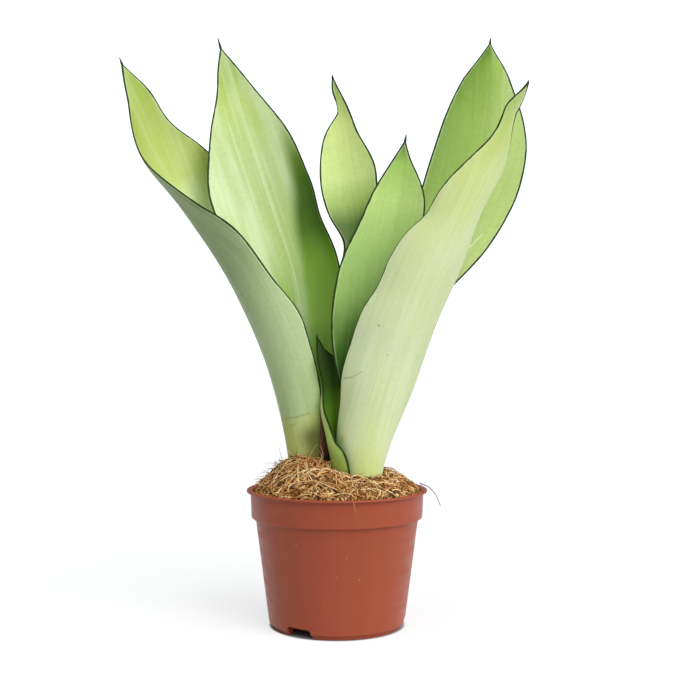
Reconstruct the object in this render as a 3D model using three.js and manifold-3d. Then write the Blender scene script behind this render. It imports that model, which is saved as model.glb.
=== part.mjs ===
// A moonshine snake plant in a nursery pot: seven pale leaves in two shoots,
// which stand on one rhizome in a mound of coconut coir.
// Millimetres, +Z up. The origin is the centre of the pot's flat base disc,
// -Y is the front, and the leaves spread widest along X.
import * as THREE from "three";
import { mergeVertices } from "three/addons/utils/BufferGeometryUtils.js";
import Module from "manifold-3d";

const wasm = await Module();
wasm.setup();

// Gap kept between pieces that touch
const GAP = 0.3;

// Nursery pot: a lip and a collar band over a tapered wall
const POT_HEIGHT = 90;
const POT_WALL = 1.3;
const LIP_RADIUS = 60;
const LIP_THICKNESS = 1.5;
const COLLAR_RADIUS_TOP = 57.4;
const COLLAR_RADIUS_BOTTOM = 56.8;
const COLLAR_BOTTOM = 72;
const BODY_RADIUS_TOP = 54;
const BODY_RADIUS_BOTTOM = 45.2;
const POT_SEGMENTS = 48;

// Pot base: the foot and the centre disc stand on the ground
const WALL_LIFT = 2.6; // height of the wall's lower edge
const FOOT_OUTER = 43;
const FOOT_INNER = 39.5;
const CENTRE_DISC = 16;
const BASE_RECESS = 3; // height of the base between disc and foot
const BASE_THICKNESS = 1.6;
const NOTCH_AZIMUTHS = [-123, -3, 117];
const NOTCH_WIDTH = 18;
const NOTCH_TOP = 6.4;
const NOTCH_CORNER = 2.4;
const DRAIN_HOLES = 6;
const DRAIN_RADIUS = 4;
const DRAIN_CIRCLE = 28;

// The two shoots: centres of the leaf bases, which clasp in rings
const LEFT_SHOOT = new THREE.Vector2(-18.5, 6);
const RIGHT_SHOOT = new THREE.Vector2(18.5, -9);
const YOUNG_SHOOT = new THREE.Vector2(13, -10.5);
const LEAF_FOOT = 48; // height where the leaf bases stand on the rhizome
const SOIL_LINE = 103; // height where the leaves leave the coir and lean out
const SHOOT_HOLE = 15.4; // radius of the hole in the coir, at its foot
const SHOOT_HOLE_FLARE = 1.6; // how much wider it is at the soil line
const SHOOT_HOLE_SEGMENTS = 36;

// Coir: a domed mound with coarse strands fused to it
const COIR_RADIUS = 54.8; // at the top, inside the collar
const COIR_EDGE = 88.6; // height where the mound meets the pot
const COIR_FOOT = 5;
const MOUND_RISE = 13.5;
const MOUND_SHOULDER = 8; // the higher, the flatter the top and the steeper its edge
const LEFT_HEAP = { x: -26, y: 2, rise: 10.5, spread: 17 };
const COIR_SEGMENTS = 36;
const COIR_RINGS = 8;
const COIR_ROUGHNESS = 1.1;
const STRANDS = 42;
const STRAND_RADIUS = 0.8;
const STRAND_SIDES = 3;
const STRAND_STEPS = 3;
const STRAND_SUNK = 2.6;
const STRAND_ARCH = 2.2;
const COIR_SEED = 8;
const SLOT_WRAP = 4; // degrees that a leaf's slot wraps further than the leaf

// Rhizome: a crown under each shoot, the stem that joins them, and roots
const CROWN_TOP = LEAF_FOOT - GAP;
const CROWN_DEPTH = 18;
const LEFT_CROWN_RADIUS = 18.6;
const RIGHT_CROWN_RADIUS = 23.5;
const STEM_RADIUS = 7;
const STEM_SAG = 3;
const STEM_STUB = 0.38; // share of the way that it runs on past the left shoot
const BUD_RADIUS = 8.2; // the growing bud at the stem's free end
const ROOTS_PER_CROWN = 3;
const ROOT_RADIUS = 1.5;
const ROOT_SPREAD = 0.8; // reach of a root as a share of its crown's radius
const ROOT_DROP = 24;
const ROOT_SIDES = 5;
const CROWN_SEGMENTS = 28;

// Leaf blades
const LEAF_STEPS = 21;
const LEAF_COLUMNS = 10;
const BLADE_EDGE = 0.8;
const SPIKE_LENGTH = 6;

// Each leaf: the shoot that its base clasps, with the ring (mid-surface radius), the
// azimuth that its upper face looks to and the angle that it wraps through, then
// stations from just above the coir to the tip, each a point of the midrib, the
// azimuth of the upper face, the angle that the channel turns through and the
// half width when flattened out. curl turns the left and right margin up further.
// A leaf with a slot stands outside its shoot's hole in the coir. The dry scale is a
// papery sheath at the foot of a leaf, of the same form.
const LEAVES = [
  {
    name: "leaf_left_outer",
    color: 0xa9c873,
    base: { shoot: LEFT_SHOOT, ring: 13.4, facing: 15, wrap: 240 },
    stations: [
      [-43, 4, 165, 18, 195, 37],
      [-66, 3, 220, 14, 168, 37],
      [-96, 4, 269, -10, 130, 38],
      [-120, 0, 317, -36, 85, 24],
      [-142, -6, 371, -55, 40, 0.8],
    ],
    curl: [0, 0],
    thickness: 2.6,
    wave: { height: 1.2, count: 2.5, phase: 0.1 },
  },
  {
    name: "leaf_left_inner",
    color: 0xa2c66f,
    base: { shoot: LEFT_SHOOT, ring: 10, facing: -65, wrap: 200 },
    stations: [
      [-22, 20, 160, -68, 130, 22],
      [-28, 24, 220, -70, 80, 37],
      [-46, 22, 280, -72, 60, 39],
      [-64, 19, 335, -76, 50, 26],
      [-79, 16, 387, -80, 40, 0.8],
    ],
    curl: [0, 60],
    thickness: 2.6,
    wave: { height: 0.8, count: 2, phase: 0.4 },
  },
  {
    name: "leaf_right_front",
    color: 0xd3e0ae,
    base: { shoot: RIGHT_SHOOT, ring: 13.4, facing: 118, wrap: 200 },
    stations: [
      [37, -27, 160, 120, 160, 36],
      [55, -32, 213, 120, 155, 37],
      [78, -38, 262, 120, 135, 26],
      [100, -45, 308, 118, 115, 12],
      [119, -50, 349, 110, 60, 0.8],
    ],
    curl: [0, 0],
    thickness: 2.6,
    wave: { height: 1.4, count: 3, phase: 0 },
  },
  {
    name: "leaf_right_rear",
    color: 0x9cc35f,
    base: { shoot: RIGHT_SHOOT, ring: 10, facing: -125, wrap: 180 },
    stations: [
      [28, 17, 150, -118, 150, 15],
      [54, 36, 214, -112, 130, 21],
      [91, 49, 280, -106, 90, 36],
      [106, 57, 341, -98, 60, 29],
      [110, 60, 402, -90, 35, 0.8],
    ],
    curl: [0, 0],
    thickness: 2.6,
    wave: { height: 0.8, count: 2, phase: 0.2 },
  },
  {
    name: "leaf_middle_rear",
    color: 0xbbd284,
    base: { shoot: RIGHT_SHOOT, ring: 6.8, facing: -75, wrap: 150 },
    stations: [
      [14, 6, 150, -80, 140, 9],
      [17, 24, 205, -85, 120, 12],
      [14, 38, 262, -90, 80, 18],
      [6, 46, 318, -92, 60, 18],
      [-3, 48, 374, -92, 60, 0.8],
    ],
    curl: [0, 0],
    thickness: 2.4,
    wave: { height: 0.8, count: 2, phase: 0.6 },
  },
  {
    name: "leaf_middle_front",
    color: 0x96bf6b,
    base: { shoot: RIGHT_SHOOT, ring: 3.6, facing: -85, wrap: 160 },
    stations: [
      [16, -8, 145, -90, 110, 14],
      [21, -6, 190, -92, 75, 27],
      [29, -6, 235, -92, 55, 28],
      [38, -6, 279, -92, 45, 18],
      [45, -6, 320, -92, 35, 0.8],
    ],
    curl: [0, 0],
    thickness: 2.4,
    wave: { height: 0.5, count: 2, phase: 0.3 },
  },
  {
    name: "leaf_young",
    color: 0x86b552,
    base: { shoot: YOUNG_SHOOT, ring: 16.2, facing: 15, wrap: 120 },
    stations: [
      [-5.5, -13.5, 121, -4, 130, 17],
      [-8, -9, 139, -34, 150, 16],
      [-8, -6, 156, -45, 150, 15],
      [-9, -6, 173, -48, 120, 11],
      [-13, -9, 190, -48, 80, 0.8],
    ],
    curl: [0, 0],
    thickness: 1.8,
    wave: { height: 0, count: 1, phase: 0 },
    steps: 13,
    slot: true,
  },
  {
    name: "dry_scale",
    color: 0x7d4b33,
    base: { shoot: LEFT_SHOOT, ring: 17.4, facing: 128, wrap: 20 },
    stations: [
      [-8.3, -8, 114, 128, 26, 3],
      [-9.2, -8, 126, 126, 40, 2.6],
      [-10.4, -8, 139, 118, 60, 0.8],
    ],
    curl: [0, 0],
    thickness: 1,
    wave: { height: 0, count: 1, phase: 0 },
    steps: 7,
    columns: 4,
    slot: true,
  },
];

const radians = THREE.MathUtils.degToRad;

// A number from 0 to 1 for each seed and index, the same on every run.
function seeded(seed) {
  let state = seed * 2654435761;
  return () => {
    state = (Math.imul(state ^ (state >>> 15), 2246822519) + 3266489917) >>> 0;
    return state / 4294967296;
  };
}

// Value of a Catmull-Rom curve through evenly spaced values, at t from 0 to 1.
function along(values, t) {
  const last = values.length - 1;
  const x = THREE.MathUtils.clamp(t, 0, 1) * last;
  const i = Math.min(Math.floor(x), last - 1);
  const f = x - i;
  const a = i > 0 ? values[i - 1] : 2 * values[0] - values[1];
  const b = values[i];
  const c = values[i + 1];
  const d = i + 2 <= last ? values[i + 2] : 2 * values[last] - values[last - 1];
  return b + 0.5 * f * (c - a + f * (2 * a - 5 * b + 4 * c - d + f * (3 * (b - c) + d - a)));
}

// A closed solid from a geometry, with its shared vertices merged.
function solidFrom(geometry) {
  const bare = new THREE.BufferGeometry();
  bare.setAttribute("position", geometry.getAttribute("position"));
  bare.setIndex(geometry.getIndex());
  const merged = mergeVertices(bare, 1e-3);
  return new wasm.Manifold(
    new wasm.Mesh({
      numProp: 3,
      vertProperties: merged.attributes.position.array,
      triVerts: new Uint32Array(merged.index.array),
    }),
  );
}

function geometryFrom(solid) {
  const mesh = solid.getMesh();
  const geometry = new THREE.BufferGeometry();
  geometry.setAttribute("position", new THREE.BufferAttribute(mesh.vertProperties, 3));
  geometry.setIndex(new THREE.BufferAttribute(mesh.triVerts, 1));
  geometry.computeVertexNormals();
  return geometry;
}

// A lathed solid round +Z from [radius, height] points, which run up the outside.
function turned(points, segments) {
  const profile = points.map(([r, z]) => new THREE.Vector2(r, z));
  return solidFrom(new THREE.LatheGeometry(profile, segments).rotateX(Math.PI / 2));
}

// A round bar along a smooth path.
function bar(points, radius, sides, steps) {
  const section = new THREE.Shape();
  for (let k = 0; k < sides; k += 1) {
    const angle = (2 * Math.PI * k) / sides;
    const corner = [radius * Math.cos(angle), radius * Math.sin(angle)];
    if (k === 0) section.moveTo(...corner);
    else section.lineTo(...corner);
  }
  const extrudePath = new THREE.CatmullRomCurve3(points);
  return solidFrom(new THREE.ExtrudeGeometry(section, { steps, extrudePath, bevelEnabled: false }));
}

// The outer body of a solid, without any small hollow that joining has sealed.
function outerBody(solid) {
  return solid.decompose().sort((a, b) => b.volume() - a.volume())[0];
}

function piece(name, geometry, color, roughness) {
  const material = new THREE.MeshStandardMaterial({ color, roughness, metalness: 0 });
  const mesh = new THREE.Mesh(geometry, material);
  mesh.name = name;
  return mesh;
}

// Leaf: all its stations, with the two of the clasping base in front.
function stationsOf({ base, stations }) {
  const look = radians(base.facing);
  const x = base.shoot.x - base.ring * Math.cos(look);
  const y = base.shoot.y - base.ring * Math.sin(look);
  const half = (base.ring * radians(base.wrap)) / 2;
  const atBase = (z) => [x, y, z, base.facing, base.wrap, half];
  return [atBase(LEAF_FOOT), atBase(SOIL_LINE), ...stations];
}

// Leaf: its midrib, and the values that change along it.
function growthOf(leaf) {
  const stations = stationsOf(leaf);
  const points = stations.map(([x, y, z]) => new THREE.Vector3(x, y, z));
  return {
    soil: 1 / (stations.length - 1),
    midrib: new THREE.CatmullRomCurve3(points, false, "catmullrom", 0.5),
    facing: stations.map((station) => station[3]),
    channel: stations.map((station) => station[4]),
    halfWidth: stations.map((station) => station[5]),
  };
}

// Leaf: one cross-section at t, as points of its mid-surface with their normals.
// It is walked outwards from the midrib, turning as it goes. Below the soil line
// the base stands straight.
function leafSection(leaf, growth, along01) {
  const t = Math.max(along01, growth.soil);
  const origin = growth.midrib.getPoint(t);
  const tangent = growth.midrib.getTangent(t);
  if (along01 < growth.soil) {
    origin.z = LEAF_FOOT;
    tangent.set(0, 0, 1);
  }
  const look = radians(along(growth.facing, t));
  const normal = new THREE.Vector3(Math.cos(look), Math.sin(look), 0);
  normal.addScaledVector(tangent, -normal.dot(tangent)).normalize();
  const side = new THREE.Vector3().crossVectors(tangent, normal);
  const half = Math.max(along(growth.halfWidth, t), 0.5);
  const turn = radians(along(growth.channel, t)) / 2;
  const open = THREE.MathUtils.smoothstep(t, 0.3, 0.55) * Math.min(1, 4 * (1 - t));
  const curled = THREE.MathUtils.smoothstep(t, 0.3, 0.5) * THREE.MathUtils.smoothstep(0.85 - t, 0, 0.15);
  const bend = (s) => {
    const curl = radians(leaf.curl[s > 0 ? 1 : 0]) * curled;
    return turn * s + Math.sign(s) * curl * THREE.MathUtils.smoothstep(Math.abs(s), 0.55, 1);
  };
  const columns = leaf.columns ?? LEAF_COLUMNS;
  const step = 2 / columns;
  const rows = [];
  for (const way of [-1, 1]) {
    let across = 0;
    let rise = 0;
    for (let j = 0; j <= columns / 2; j += 1) {
      const s = way * j * step;
      if (j > 0) {
        const middle = bend(s - (way * step) / 2);
        across += way * half * step * Math.cos(middle);
        rise += way * half * step * Math.sin(middle);
      }
      const phi = bend(s);
      const up = normal.clone().multiplyScalar(Math.cos(phi)).addScaledVector(side, -Math.sin(phi));
      const swing = 2 * Math.PI * (leaf.wave.count * t + leaf.wave.phase + (s > 0 ? 0.37 : 0));
      const wave = leaf.wave.height * open * Math.abs(s) ** 3 * Math.sin(swing);
      const at = origin
        .clone()
        .addScaledVector(side, across)
        .addScaledVector(normal, rise)
        .addScaledVector(up, wave);
      const body = (1 - s * s) ** 0.6 * Math.min(1, 0.35 + 1.6 * (1 - t), 0.75 + 1.2 * (t - growth.soil));
      const row = { at, up, thick: BLADE_EDGE + (leaf.thickness - BLADE_EDGE) * body };
      if (way < 0) rows.unshift(row);
      else if (j > 0) rows.push(row);
    }
  }
  return rows;
}

// Leaf: the closed blade, both faces split into triangles alike.
function leafGeometry(leaf, swell = 0) {
  const growth = growthOf(leaf);
  const sections = [];
  sections.push(leafSection(leaf, growth, 0));
  const steps = leaf.steps ?? LEAF_STEPS;
  for (let i = 0; i <= steps; i += 1) {
    const t = THREE.MathUtils.lerp(growth.soil, 1, i / steps);
    sections.push(leafSection(leaf, growth, t));
  }
  const tip = sections.at(-1);
  const beyond = growth.midrib.getTangent(1).multiplyScalar(SPIKE_LENGTH);
  sections.push(tip.map((p) => ({ ...p, at: p.at.clone().add(beyond) })));
  const positions = [];
  for (const lift of [0.5, -0.5]) {
    for (const section of sections) {
      for (const { at, up, thick } of section) {
        positions.push(...at.clone().addScaledVector(up, lift * (thick + 2 * swell)));
      }
    }
  }
  const rows = sections.length;
  const m = leaf.columns ?? LEAF_COLUMNS;
  const across = m + 1;
  const upper = (i, j) => i * across + j;
  const lower = (i, j) => (rows + i) * across + j;
  const faces = [];
  for (let i = 0; i < rows - 1; i += 1) {
    for (let j = 0; j < m; j += 1) {
      faces.push(upper(i, j), upper(i, j + 1), upper(i + 1, j + 1));
      faces.push(upper(i, j), upper(i + 1, j + 1), upper(i + 1, j));
      faces.push(lower(i, j), lower(i + 1, j + 1), lower(i, j + 1));
      faces.push(lower(i, j), lower(i + 1, j), lower(i + 1, j + 1));
    }
    faces.push(upper(i, 0), upper(i + 1, 0), lower(i, 0));
    faces.push(upper(i + 1, 0), lower(i + 1, 0), lower(i, 0));
    faces.push(upper(i, m), lower(i, m), upper(i + 1, m));
    faces.push(upper(i + 1, m), lower(i, m), lower(i + 1, m));
  }
  const end = rows - 1;
  for (let j = 0; j < m; j += 1) {
    faces.push(upper(0, j), lower(0, j), upper(0, j + 1));
    faces.push(upper(0, j + 1), lower(0, j), lower(0, j + 1));
    faces.push(upper(end, j), upper(end, j + 1), lower(end, j));
    faces.push(upper(end, j + 1), lower(end, j + 1), lower(end, j));
  }
  const geometry = new THREE.BufferGeometry();
  geometry.setAttribute("position", new THREE.Float32BufferAttribute(positions, 3));
  geometry.setIndex(faces);
  geometry.computeVertexNormals();
  return geometry;
}

// Pot: the turned body, up the outside and down the inside. The collar stands out
// over a rounded shelf, and the lip's edges are rounded a little.
function potBody() {
  const lipUnder = POT_HEIGHT - LIP_THICKNESS;
  const shelf = COLLAR_BOTTOM - 0.6;
  return turned(
    [
      [0, 0],
      [CENTRE_DISC, 0],
      [CENTRE_DISC + 1.6, BASE_RECESS],
      [FOOT_INNER - 1, BASE_RECESS],
      [FOOT_INNER, 0],
      [FOOT_OUTER, 0],
      [FOOT_OUTER, WALL_LIFT],
      [BODY_RADIUS_BOTTOM - 0.9, WALL_LIFT],
      [BODY_RADIUS_BOTTOM, WALL_LIFT + 1.2],
      [BODY_RADIUS_TOP, COLLAR_BOTTOM - 1.6],
      [BODY_RADIUS_TOP + 1.5, COLLAR_BOTTOM - 0.6],
      [COLLAR_RADIUS_BOTTOM - 0.3, COLLAR_BOTTOM + 0.8],
      [COLLAR_RADIUS_BOTTOM, COLLAR_BOTTOM + 2.4],
      [COLLAR_RADIUS_TOP, lipUnder],
      [LIP_RADIUS - 0.4, lipUnder + 0.2],
      [LIP_RADIUS, POT_HEIGHT - 0.7],
      [LIP_RADIUS - 0.6, POT_HEIGHT],
      [COLLAR_RADIUS_TOP - POT_WALL, POT_HEIGHT - 0.3],
      [COLLAR_RADIUS_BOTTOM - POT_WALL, shelf + 2.2],
      [BODY_RADIUS_TOP - POT_WALL, shelf],
      [BODY_RADIUS_BOTTOM - POT_WALL, BASE_RECESS + BASE_THICKNESS],
      [CENTRE_DISC, BASE_RECESS + BASE_THICKNESS],
      [CENTRE_DISC - 1.6, BASE_THICKNESS],
      [0, BASE_THICKNESS],
    ],
    POT_SEGMENTS,
  );
}

// Pot: the solid that cuts one drain notch, with rounded upper corners.
function notch(azimuth) {
  const half = NOTCH_WIDTH / 2;
  const outline = new THREE.Shape();
  outline.moveTo(-half, -1);
  outline.lineTo(half, -1);
  outline.lineTo(half, NOTCH_TOP - NOTCH_CORNER);
  outline.absarc(half - NOTCH_CORNER, NOTCH_TOP - NOTCH_CORNER, NOTCH_CORNER, 0, Math.PI / 2);
  outline.lineTo(-half + NOTCH_CORNER, NOTCH_TOP);
  outline.absarc(
    -half + NOTCH_CORNER,
    NOTCH_TOP - NOTCH_CORNER,
    NOTCH_CORNER,
    Math.PI / 2,
    Math.PI,
  );
  outline.closePath();
  const depth = BODY_RADIUS_BOTTOM - FOOT_INNER + 8;
  const block = new THREE.ExtrudeGeometry(outline, { depth, bevelEnabled: false, curveSegments: 3 });
  block.translate(0, 0, FOOT_INNER - 2);
  block.rotateX(Math.PI / 2);
  block.rotateZ(radians(azimuth + 90) + Math.PI);
  return solidFrom(block);
}

function potGeometry() {
  let pot = potBody();
  for (const azimuth of NOTCH_AZIMUTHS) pot = pot.subtract(notch(azimuth));
  for (let k = 0; k < DRAIN_HOLES; k += 1) {
    const angle = (2 * Math.PI * (k + 0.5)) / DRAIN_HOLES;
    const drill = new THREE.CylinderGeometry(DRAIN_RADIUS, DRAIN_RADIUS, 12, 12);
    drill.rotateX(Math.PI / 2);
    drill.translate(DRAIN_CIRCLE * Math.cos(angle), DRAIN_CIRCLE * Math.sin(angle), BASE_RECESS);
    pot = pot.subtract(solidFrom(drill));
  }
  return geometryFrom(pot);
}

// Rhizome: one crown, widening up to the plate that the leaf bases stand on.
function crown(shoot, radius, grow) {
  const foot = CROWN_TOP - CROWN_DEPTH;
  const body = turned(
    [
      [0, foot - grow],
      [0.55 * radius + grow, foot - grow],
      [0.9 * radius + grow, foot + 0.45 * CROWN_DEPTH],
      [radius + grow, CROWN_TOP - 2],
      [radius + grow, CROWN_TOP + 2 * grow],
      [0, CROWN_TOP + 2 * grow],
    ],
    CROWN_SEGMENTS,
  );
  return body.translate([shoot.x, shoot.y, 0]);
}

// Rhizome: the roots of one crown, which run out and down with a bend.
function roots(shoot, radius, seed, grow) {
  const random = seeded(seed);
  const start = CROWN_TOP - CROWN_DEPTH / 2;
  const made = [];
  for (let k = 0; k < ROOTS_PER_CROWN; k += 1) {
    const angle = (2 * Math.PI * (k + 0.6 * random())) / ROOTS_PER_CROWN;
    const bend = angle + random() - 0.5;
    const reach = ROOT_SPREAD * radius;
    const out = (distance, turn, z) =>
      new THREE.Vector3(
        shoot.x + distance * Math.cos(turn),
        shoot.y + distance * Math.sin(turn),
        z,
      );
    const path = [
      out(0.5 * reach, angle, start),
      out(reach, angle, start - 0.5 * ROOT_DROP),
      out(reach, bend, start - ROOT_DROP),
    ];
    made.push(bar(path, ROOT_RADIUS + 1.3 * grow, ROOT_SIDES, 5));
    const tip = new THREE.IcosahedronGeometry(ROOT_RADIUS + 3 * grow, 0);
    made.push(solidFrom(tip).translate(path[2].toArray()));
  }
  return made;
}

// Rhizome: crowns, stem and roots in one. grow gives the hollow that it lies in.
function rhizomeSolid(grow = 0) {
  const depth = CROWN_TOP - 0.55 * CROWN_DEPTH;
  const along01 = (f) => LEFT_SHOOT.clone().lerp(RIGHT_SHOOT, f);
  const stemPath = [-STEM_STUB, 0, 0.5, 1].map((f) => {
    const { x, y } = along01(f);
    return new THREE.Vector3(x, y, depth - STEM_SAG * Math.abs(Math.sin(Math.PI * f)));
  });
  let solid = bar(stemPath, STEM_RADIUS + grow, 12, 10);
  const bud = new THREE.IcosahedronGeometry(BUD_RADIUS + 1.2 * grow, 1);
  solid = solid.add(solidFrom(bud).translate(stemPath[0].toArray()));
  solid = solid.add(crown(LEFT_SHOOT, LEFT_CROWN_RADIUS, grow));
  solid = solid.add(crown(RIGHT_SHOOT, RIGHT_CROWN_RADIUS, grow));
  for (const root of roots(LEFT_SHOOT, LEFT_CROWN_RADIUS, 3, grow)) solid = solid.add(root);
  for (const root of roots(RIGHT_SHOOT, RIGHT_CROWN_RADIUS, 5, grow)) solid = solid.add(root);
  return solid;
}

// Coir: height of the smooth mound, which is heaped higher round the left shoot.
function moundHeight(x, y) {
  const dome = 1 - (Math.hypot(x, y) / COIR_RADIUS) ** MOUND_SHOULDER;
  const off = ((x - LEFT_HEAP.x) ** 2 + (y - LEFT_HEAP.y) ** 2) / (2 * LEFT_HEAP.spread ** 2);
  return COIR_EDGE + dome * (MOUND_RISE + LEFT_HEAP.rise * Math.exp(-off));
}

// Coir: the plug that fills the pot, with a lumpy top.
function coirBody() {
  const random = seeded(COIR_SEED);
  const rings = [
    [BODY_RADIUS_BOTTOM - POT_WALL - 2 * GAP, COIR_FOOT],
    [BODY_RADIUS_TOP - POT_WALL - 2 * GAP, COLLAR_BOTTOM - 0.6],
    [COIR_RADIUS, COLLAR_BOTTOM + 3],
    [COIR_RADIUS, COIR_EDGE],
  ];
  const positions = [0, 0, COIR_FOOT];
  const push = (r, k, z) => {
    const angle = (2 * Math.PI * k) / COIR_SEGMENTS;
    positions.push(r * Math.cos(angle), r * Math.sin(angle), z(r * Math.cos(angle), r * Math.sin(angle)));
  };
  for (const [r, z] of rings) {
    for (let k = 0; k < COIR_SEGMENTS; k += 1) push(r, k, () => z);
  }
  for (let i = 1; i < COIR_RINGS; i += 1) {
    const r = COIR_RADIUS * (1 - i / COIR_RINGS);
    const lumpy = (x, y) => moundHeight(x, y) + COIR_ROUGHNESS * (2 * random() - 1);
    for (let k = 0; k < COIR_SEGMENTS; k += 1) push(r, k, lumpy);
  }
  positions.push(0, 0, moundHeight(0, 0));
  const levels = rings.length + COIR_RINGS - 1;
  const at = (level, k) => 1 + level * COIR_SEGMENTS + (k % COIR_SEGMENTS);
  const peak = 1 + levels * COIR_SEGMENTS;
  const faces = [];
  for (let k = 0; k < COIR_SEGMENTS; k += 1) {
    faces.push(0, at(0, k + 1), at(0, k));
    for (let level = 0; level < levels - 1; level += 1) {
      faces.push(at(level, k), at(level, k + 1), at(level + 1, k + 1));
      faces.push(at(level, k), at(level + 1, k + 1), at(level + 1, k));
    }
    faces.push(at(levels - 1, k), at(levels - 1, k + 1), peak);
  }
  const geometry = new THREE.BufferGeometry();
  geometry.setAttribute("position", new THREE.Float32BufferAttribute(positions, 3));
  geometry.setIndex(faces);
  return solidFrom(geometry);
}

// Coir: whether a strand end or middle lies on the mound, clear of both shoots.
function onMound(point) {
  const flat = new THREE.Vector2(point.x, point.y);
  const clear = SHOOT_HOLE + 4;
  return (
    flat.length() < COIR_RADIUS - 2 &&
    flat.distanceTo(LEFT_SHOOT) > clear &&
    flat.distanceTo(RIGHT_SHOOT) > clear &&
    flat.distanceTo(YOUNG_SHOOT) > clear
  );
}

// Coir: one bent strand, both ends sunk in the mound, or null where it finds no room.
function strand(random) {
  const x = COIR_RADIUS * (2 * random() - 1);
  const y = COIR_RADIUS * (2 * random() - 1);
  const angle = 2 * Math.PI * random();
  const length = 12 + 16 * random();
  const sag = 4 * (2 * random() - 1);
  const point = (along, aside, lift) => {
    const px = x + along * Math.cos(angle) - aside * Math.sin(angle);
    const py = y + along * Math.sin(angle) + aside * Math.cos(angle);
    return new THREE.Vector3(px, py, moundHeight(px, py) + lift);
  };
  const path = [
    point(-length / 2, 0, -STRAND_SUNK),
    point(-length / 5, sag, STRAND_ARCH * (0.4 + random())),
    point(length / 5, sag, STRAND_ARCH * (0.4 + random())),
    point(length / 2, 0, -STRAND_SUNK),
  ];
  if (!path.every(onMound)) return null;
  return bar(path, STRAND_RADIUS, STRAND_SIDES, STRAND_STEPS);
}

// Coir: the plain hole that one shoot stands in, a little wider at the top.
function shootHole(shoot) {
  const foot = LEAF_FOOT - 1;
  const top = SOIL_LINE + 30;
  const hole = turned(
    [
      [0, foot],
      [SHOOT_HOLE, foot],
      [SHOOT_HOLE + SHOOT_HOLE_FLARE, SOIL_LINE],
      [SHOOT_HOLE + SHOOT_HOLE_FLARE, top],
      [0, top],
    ],
    SHOOT_HOLE_SEGMENTS,
  );
  return hole.translate([shoot.x, shoot.y, 0]);
}

// Coir: the slot for a leaf whose base stands outside the shoots' holes.
function leafSlot(leaf) {
  const wider = { ...leaf, base: { ...leaf.base, wrap: leaf.base.wrap + SLOT_WRAP } };
  return solidFrom(leafGeometry(wider, 2 * GAP));
}

function coirGeometry() {
  const random = seeded(COIR_SEED + 1);
  let coir = coirBody();
  let placed = 0;
  while (placed < STRANDS) {
    const made = strand(random);
    if (made) {
      coir = coir.add(made);
      placed += 1;
    }
  }
  coir = coir.subtract(rhizomeSolid(GAP));
  coir = coir.subtract(shootHole(LEFT_SHOOT));
  coir = coir.subtract(shootHole(RIGHT_SHOOT));
  for (const leaf of LEAVES) {
    if (leaf.slot) coir = coir.subtract(leafSlot(leaf));
  }
  return geometryFrom(outerBody(coir));
}

const plant = new THREE.Group();
plant.add(piece("pot", potGeometry(), 0x9c4c38, 0.5));
plant.add(piece("coir_soil", coirGeometry(), 0xa87b45, 0.95));
plant.add(piece("rhizome", geometryFrom(rhizomeSolid()), 0xc98a4b, 0.8));
for (const leaf of LEAVES) plant.add(piece(leaf.name, leafGeometry(leaf), leaf.color, 0.55));

export default plant;
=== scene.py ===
"""Potted moonshine snake plant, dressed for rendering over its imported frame.

Seven waxy leaves in two shoots and a dry scale grow from a domed mound of coconut
coir in a thin-wall nursery pot. Metres, +Z up, -Y to the front; sizes in the
classes are millimetres.
"""

import logging
import math
import random
from abc import ABC, abstractmethod
from dataclasses import dataclass, field
from enum import Enum
from typing import Any, Callable, Iterable, NamedTuple, Sequence

import bmesh
import bpy
from mathutils import Matrix, Vector, noise


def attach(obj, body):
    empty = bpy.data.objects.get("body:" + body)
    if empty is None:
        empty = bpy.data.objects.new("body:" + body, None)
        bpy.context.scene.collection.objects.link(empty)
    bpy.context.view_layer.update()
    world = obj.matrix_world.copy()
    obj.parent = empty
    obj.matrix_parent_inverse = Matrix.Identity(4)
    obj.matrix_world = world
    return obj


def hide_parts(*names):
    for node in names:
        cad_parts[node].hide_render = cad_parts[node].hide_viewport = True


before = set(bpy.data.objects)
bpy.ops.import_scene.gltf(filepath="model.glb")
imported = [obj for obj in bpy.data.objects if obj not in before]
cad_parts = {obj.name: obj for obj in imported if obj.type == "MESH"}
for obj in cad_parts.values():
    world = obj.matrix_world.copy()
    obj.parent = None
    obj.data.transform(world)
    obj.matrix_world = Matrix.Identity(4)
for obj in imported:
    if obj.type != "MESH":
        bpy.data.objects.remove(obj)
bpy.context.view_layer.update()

MM = 0.001
BODY = "root"
FULL_TURN = 2 * math.pi
WELD = 0.01  # millimetres within which the points of a turned shape are joined
log = logging.getLogger("snake_plant")

Pair = tuple[float, float]
Place = tuple[float, float, float]
Stops = tuple[tuple[float, str], ...]
Socket = bpy.types.NodeSocket


def srgb(digits: str) -> tuple[float, ...]:
    """Turns an sRGB colour into a linear one.

    Args:
        digits: Its six hex digits.

    Returns:
        Linear red, green, blue and alpha.
    """
    channels = (int(digits[i : i + 2], 16) / 255 for i in (0, 2, 4))
    linear = (c / 12.92 if c <= 0.04045 else ((c + 0.055) / 1.055) ** 2.4 for c in channels)
    return (*linear, 1.0)


def smooth(value: float, low: float, high: float) -> float:
    """Returns the smooth step of value between low and high."""
    x = min(1.0, max(0.0, (value - low) / (high - low)))
    return x * x * (3 - 2 * x)


def mix(a: float, b: float, f: float) -> float:
    """Returns the value a share f of the way from a to b."""
    return a + (b - a) * f


def polar(radius: float, azimuth: float) -> Pair:
    """Returns the x and y of a point from its radius and its azimuth in radians."""
    return radius * math.cos(azimuth), radius * math.sin(azimuth)


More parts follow.
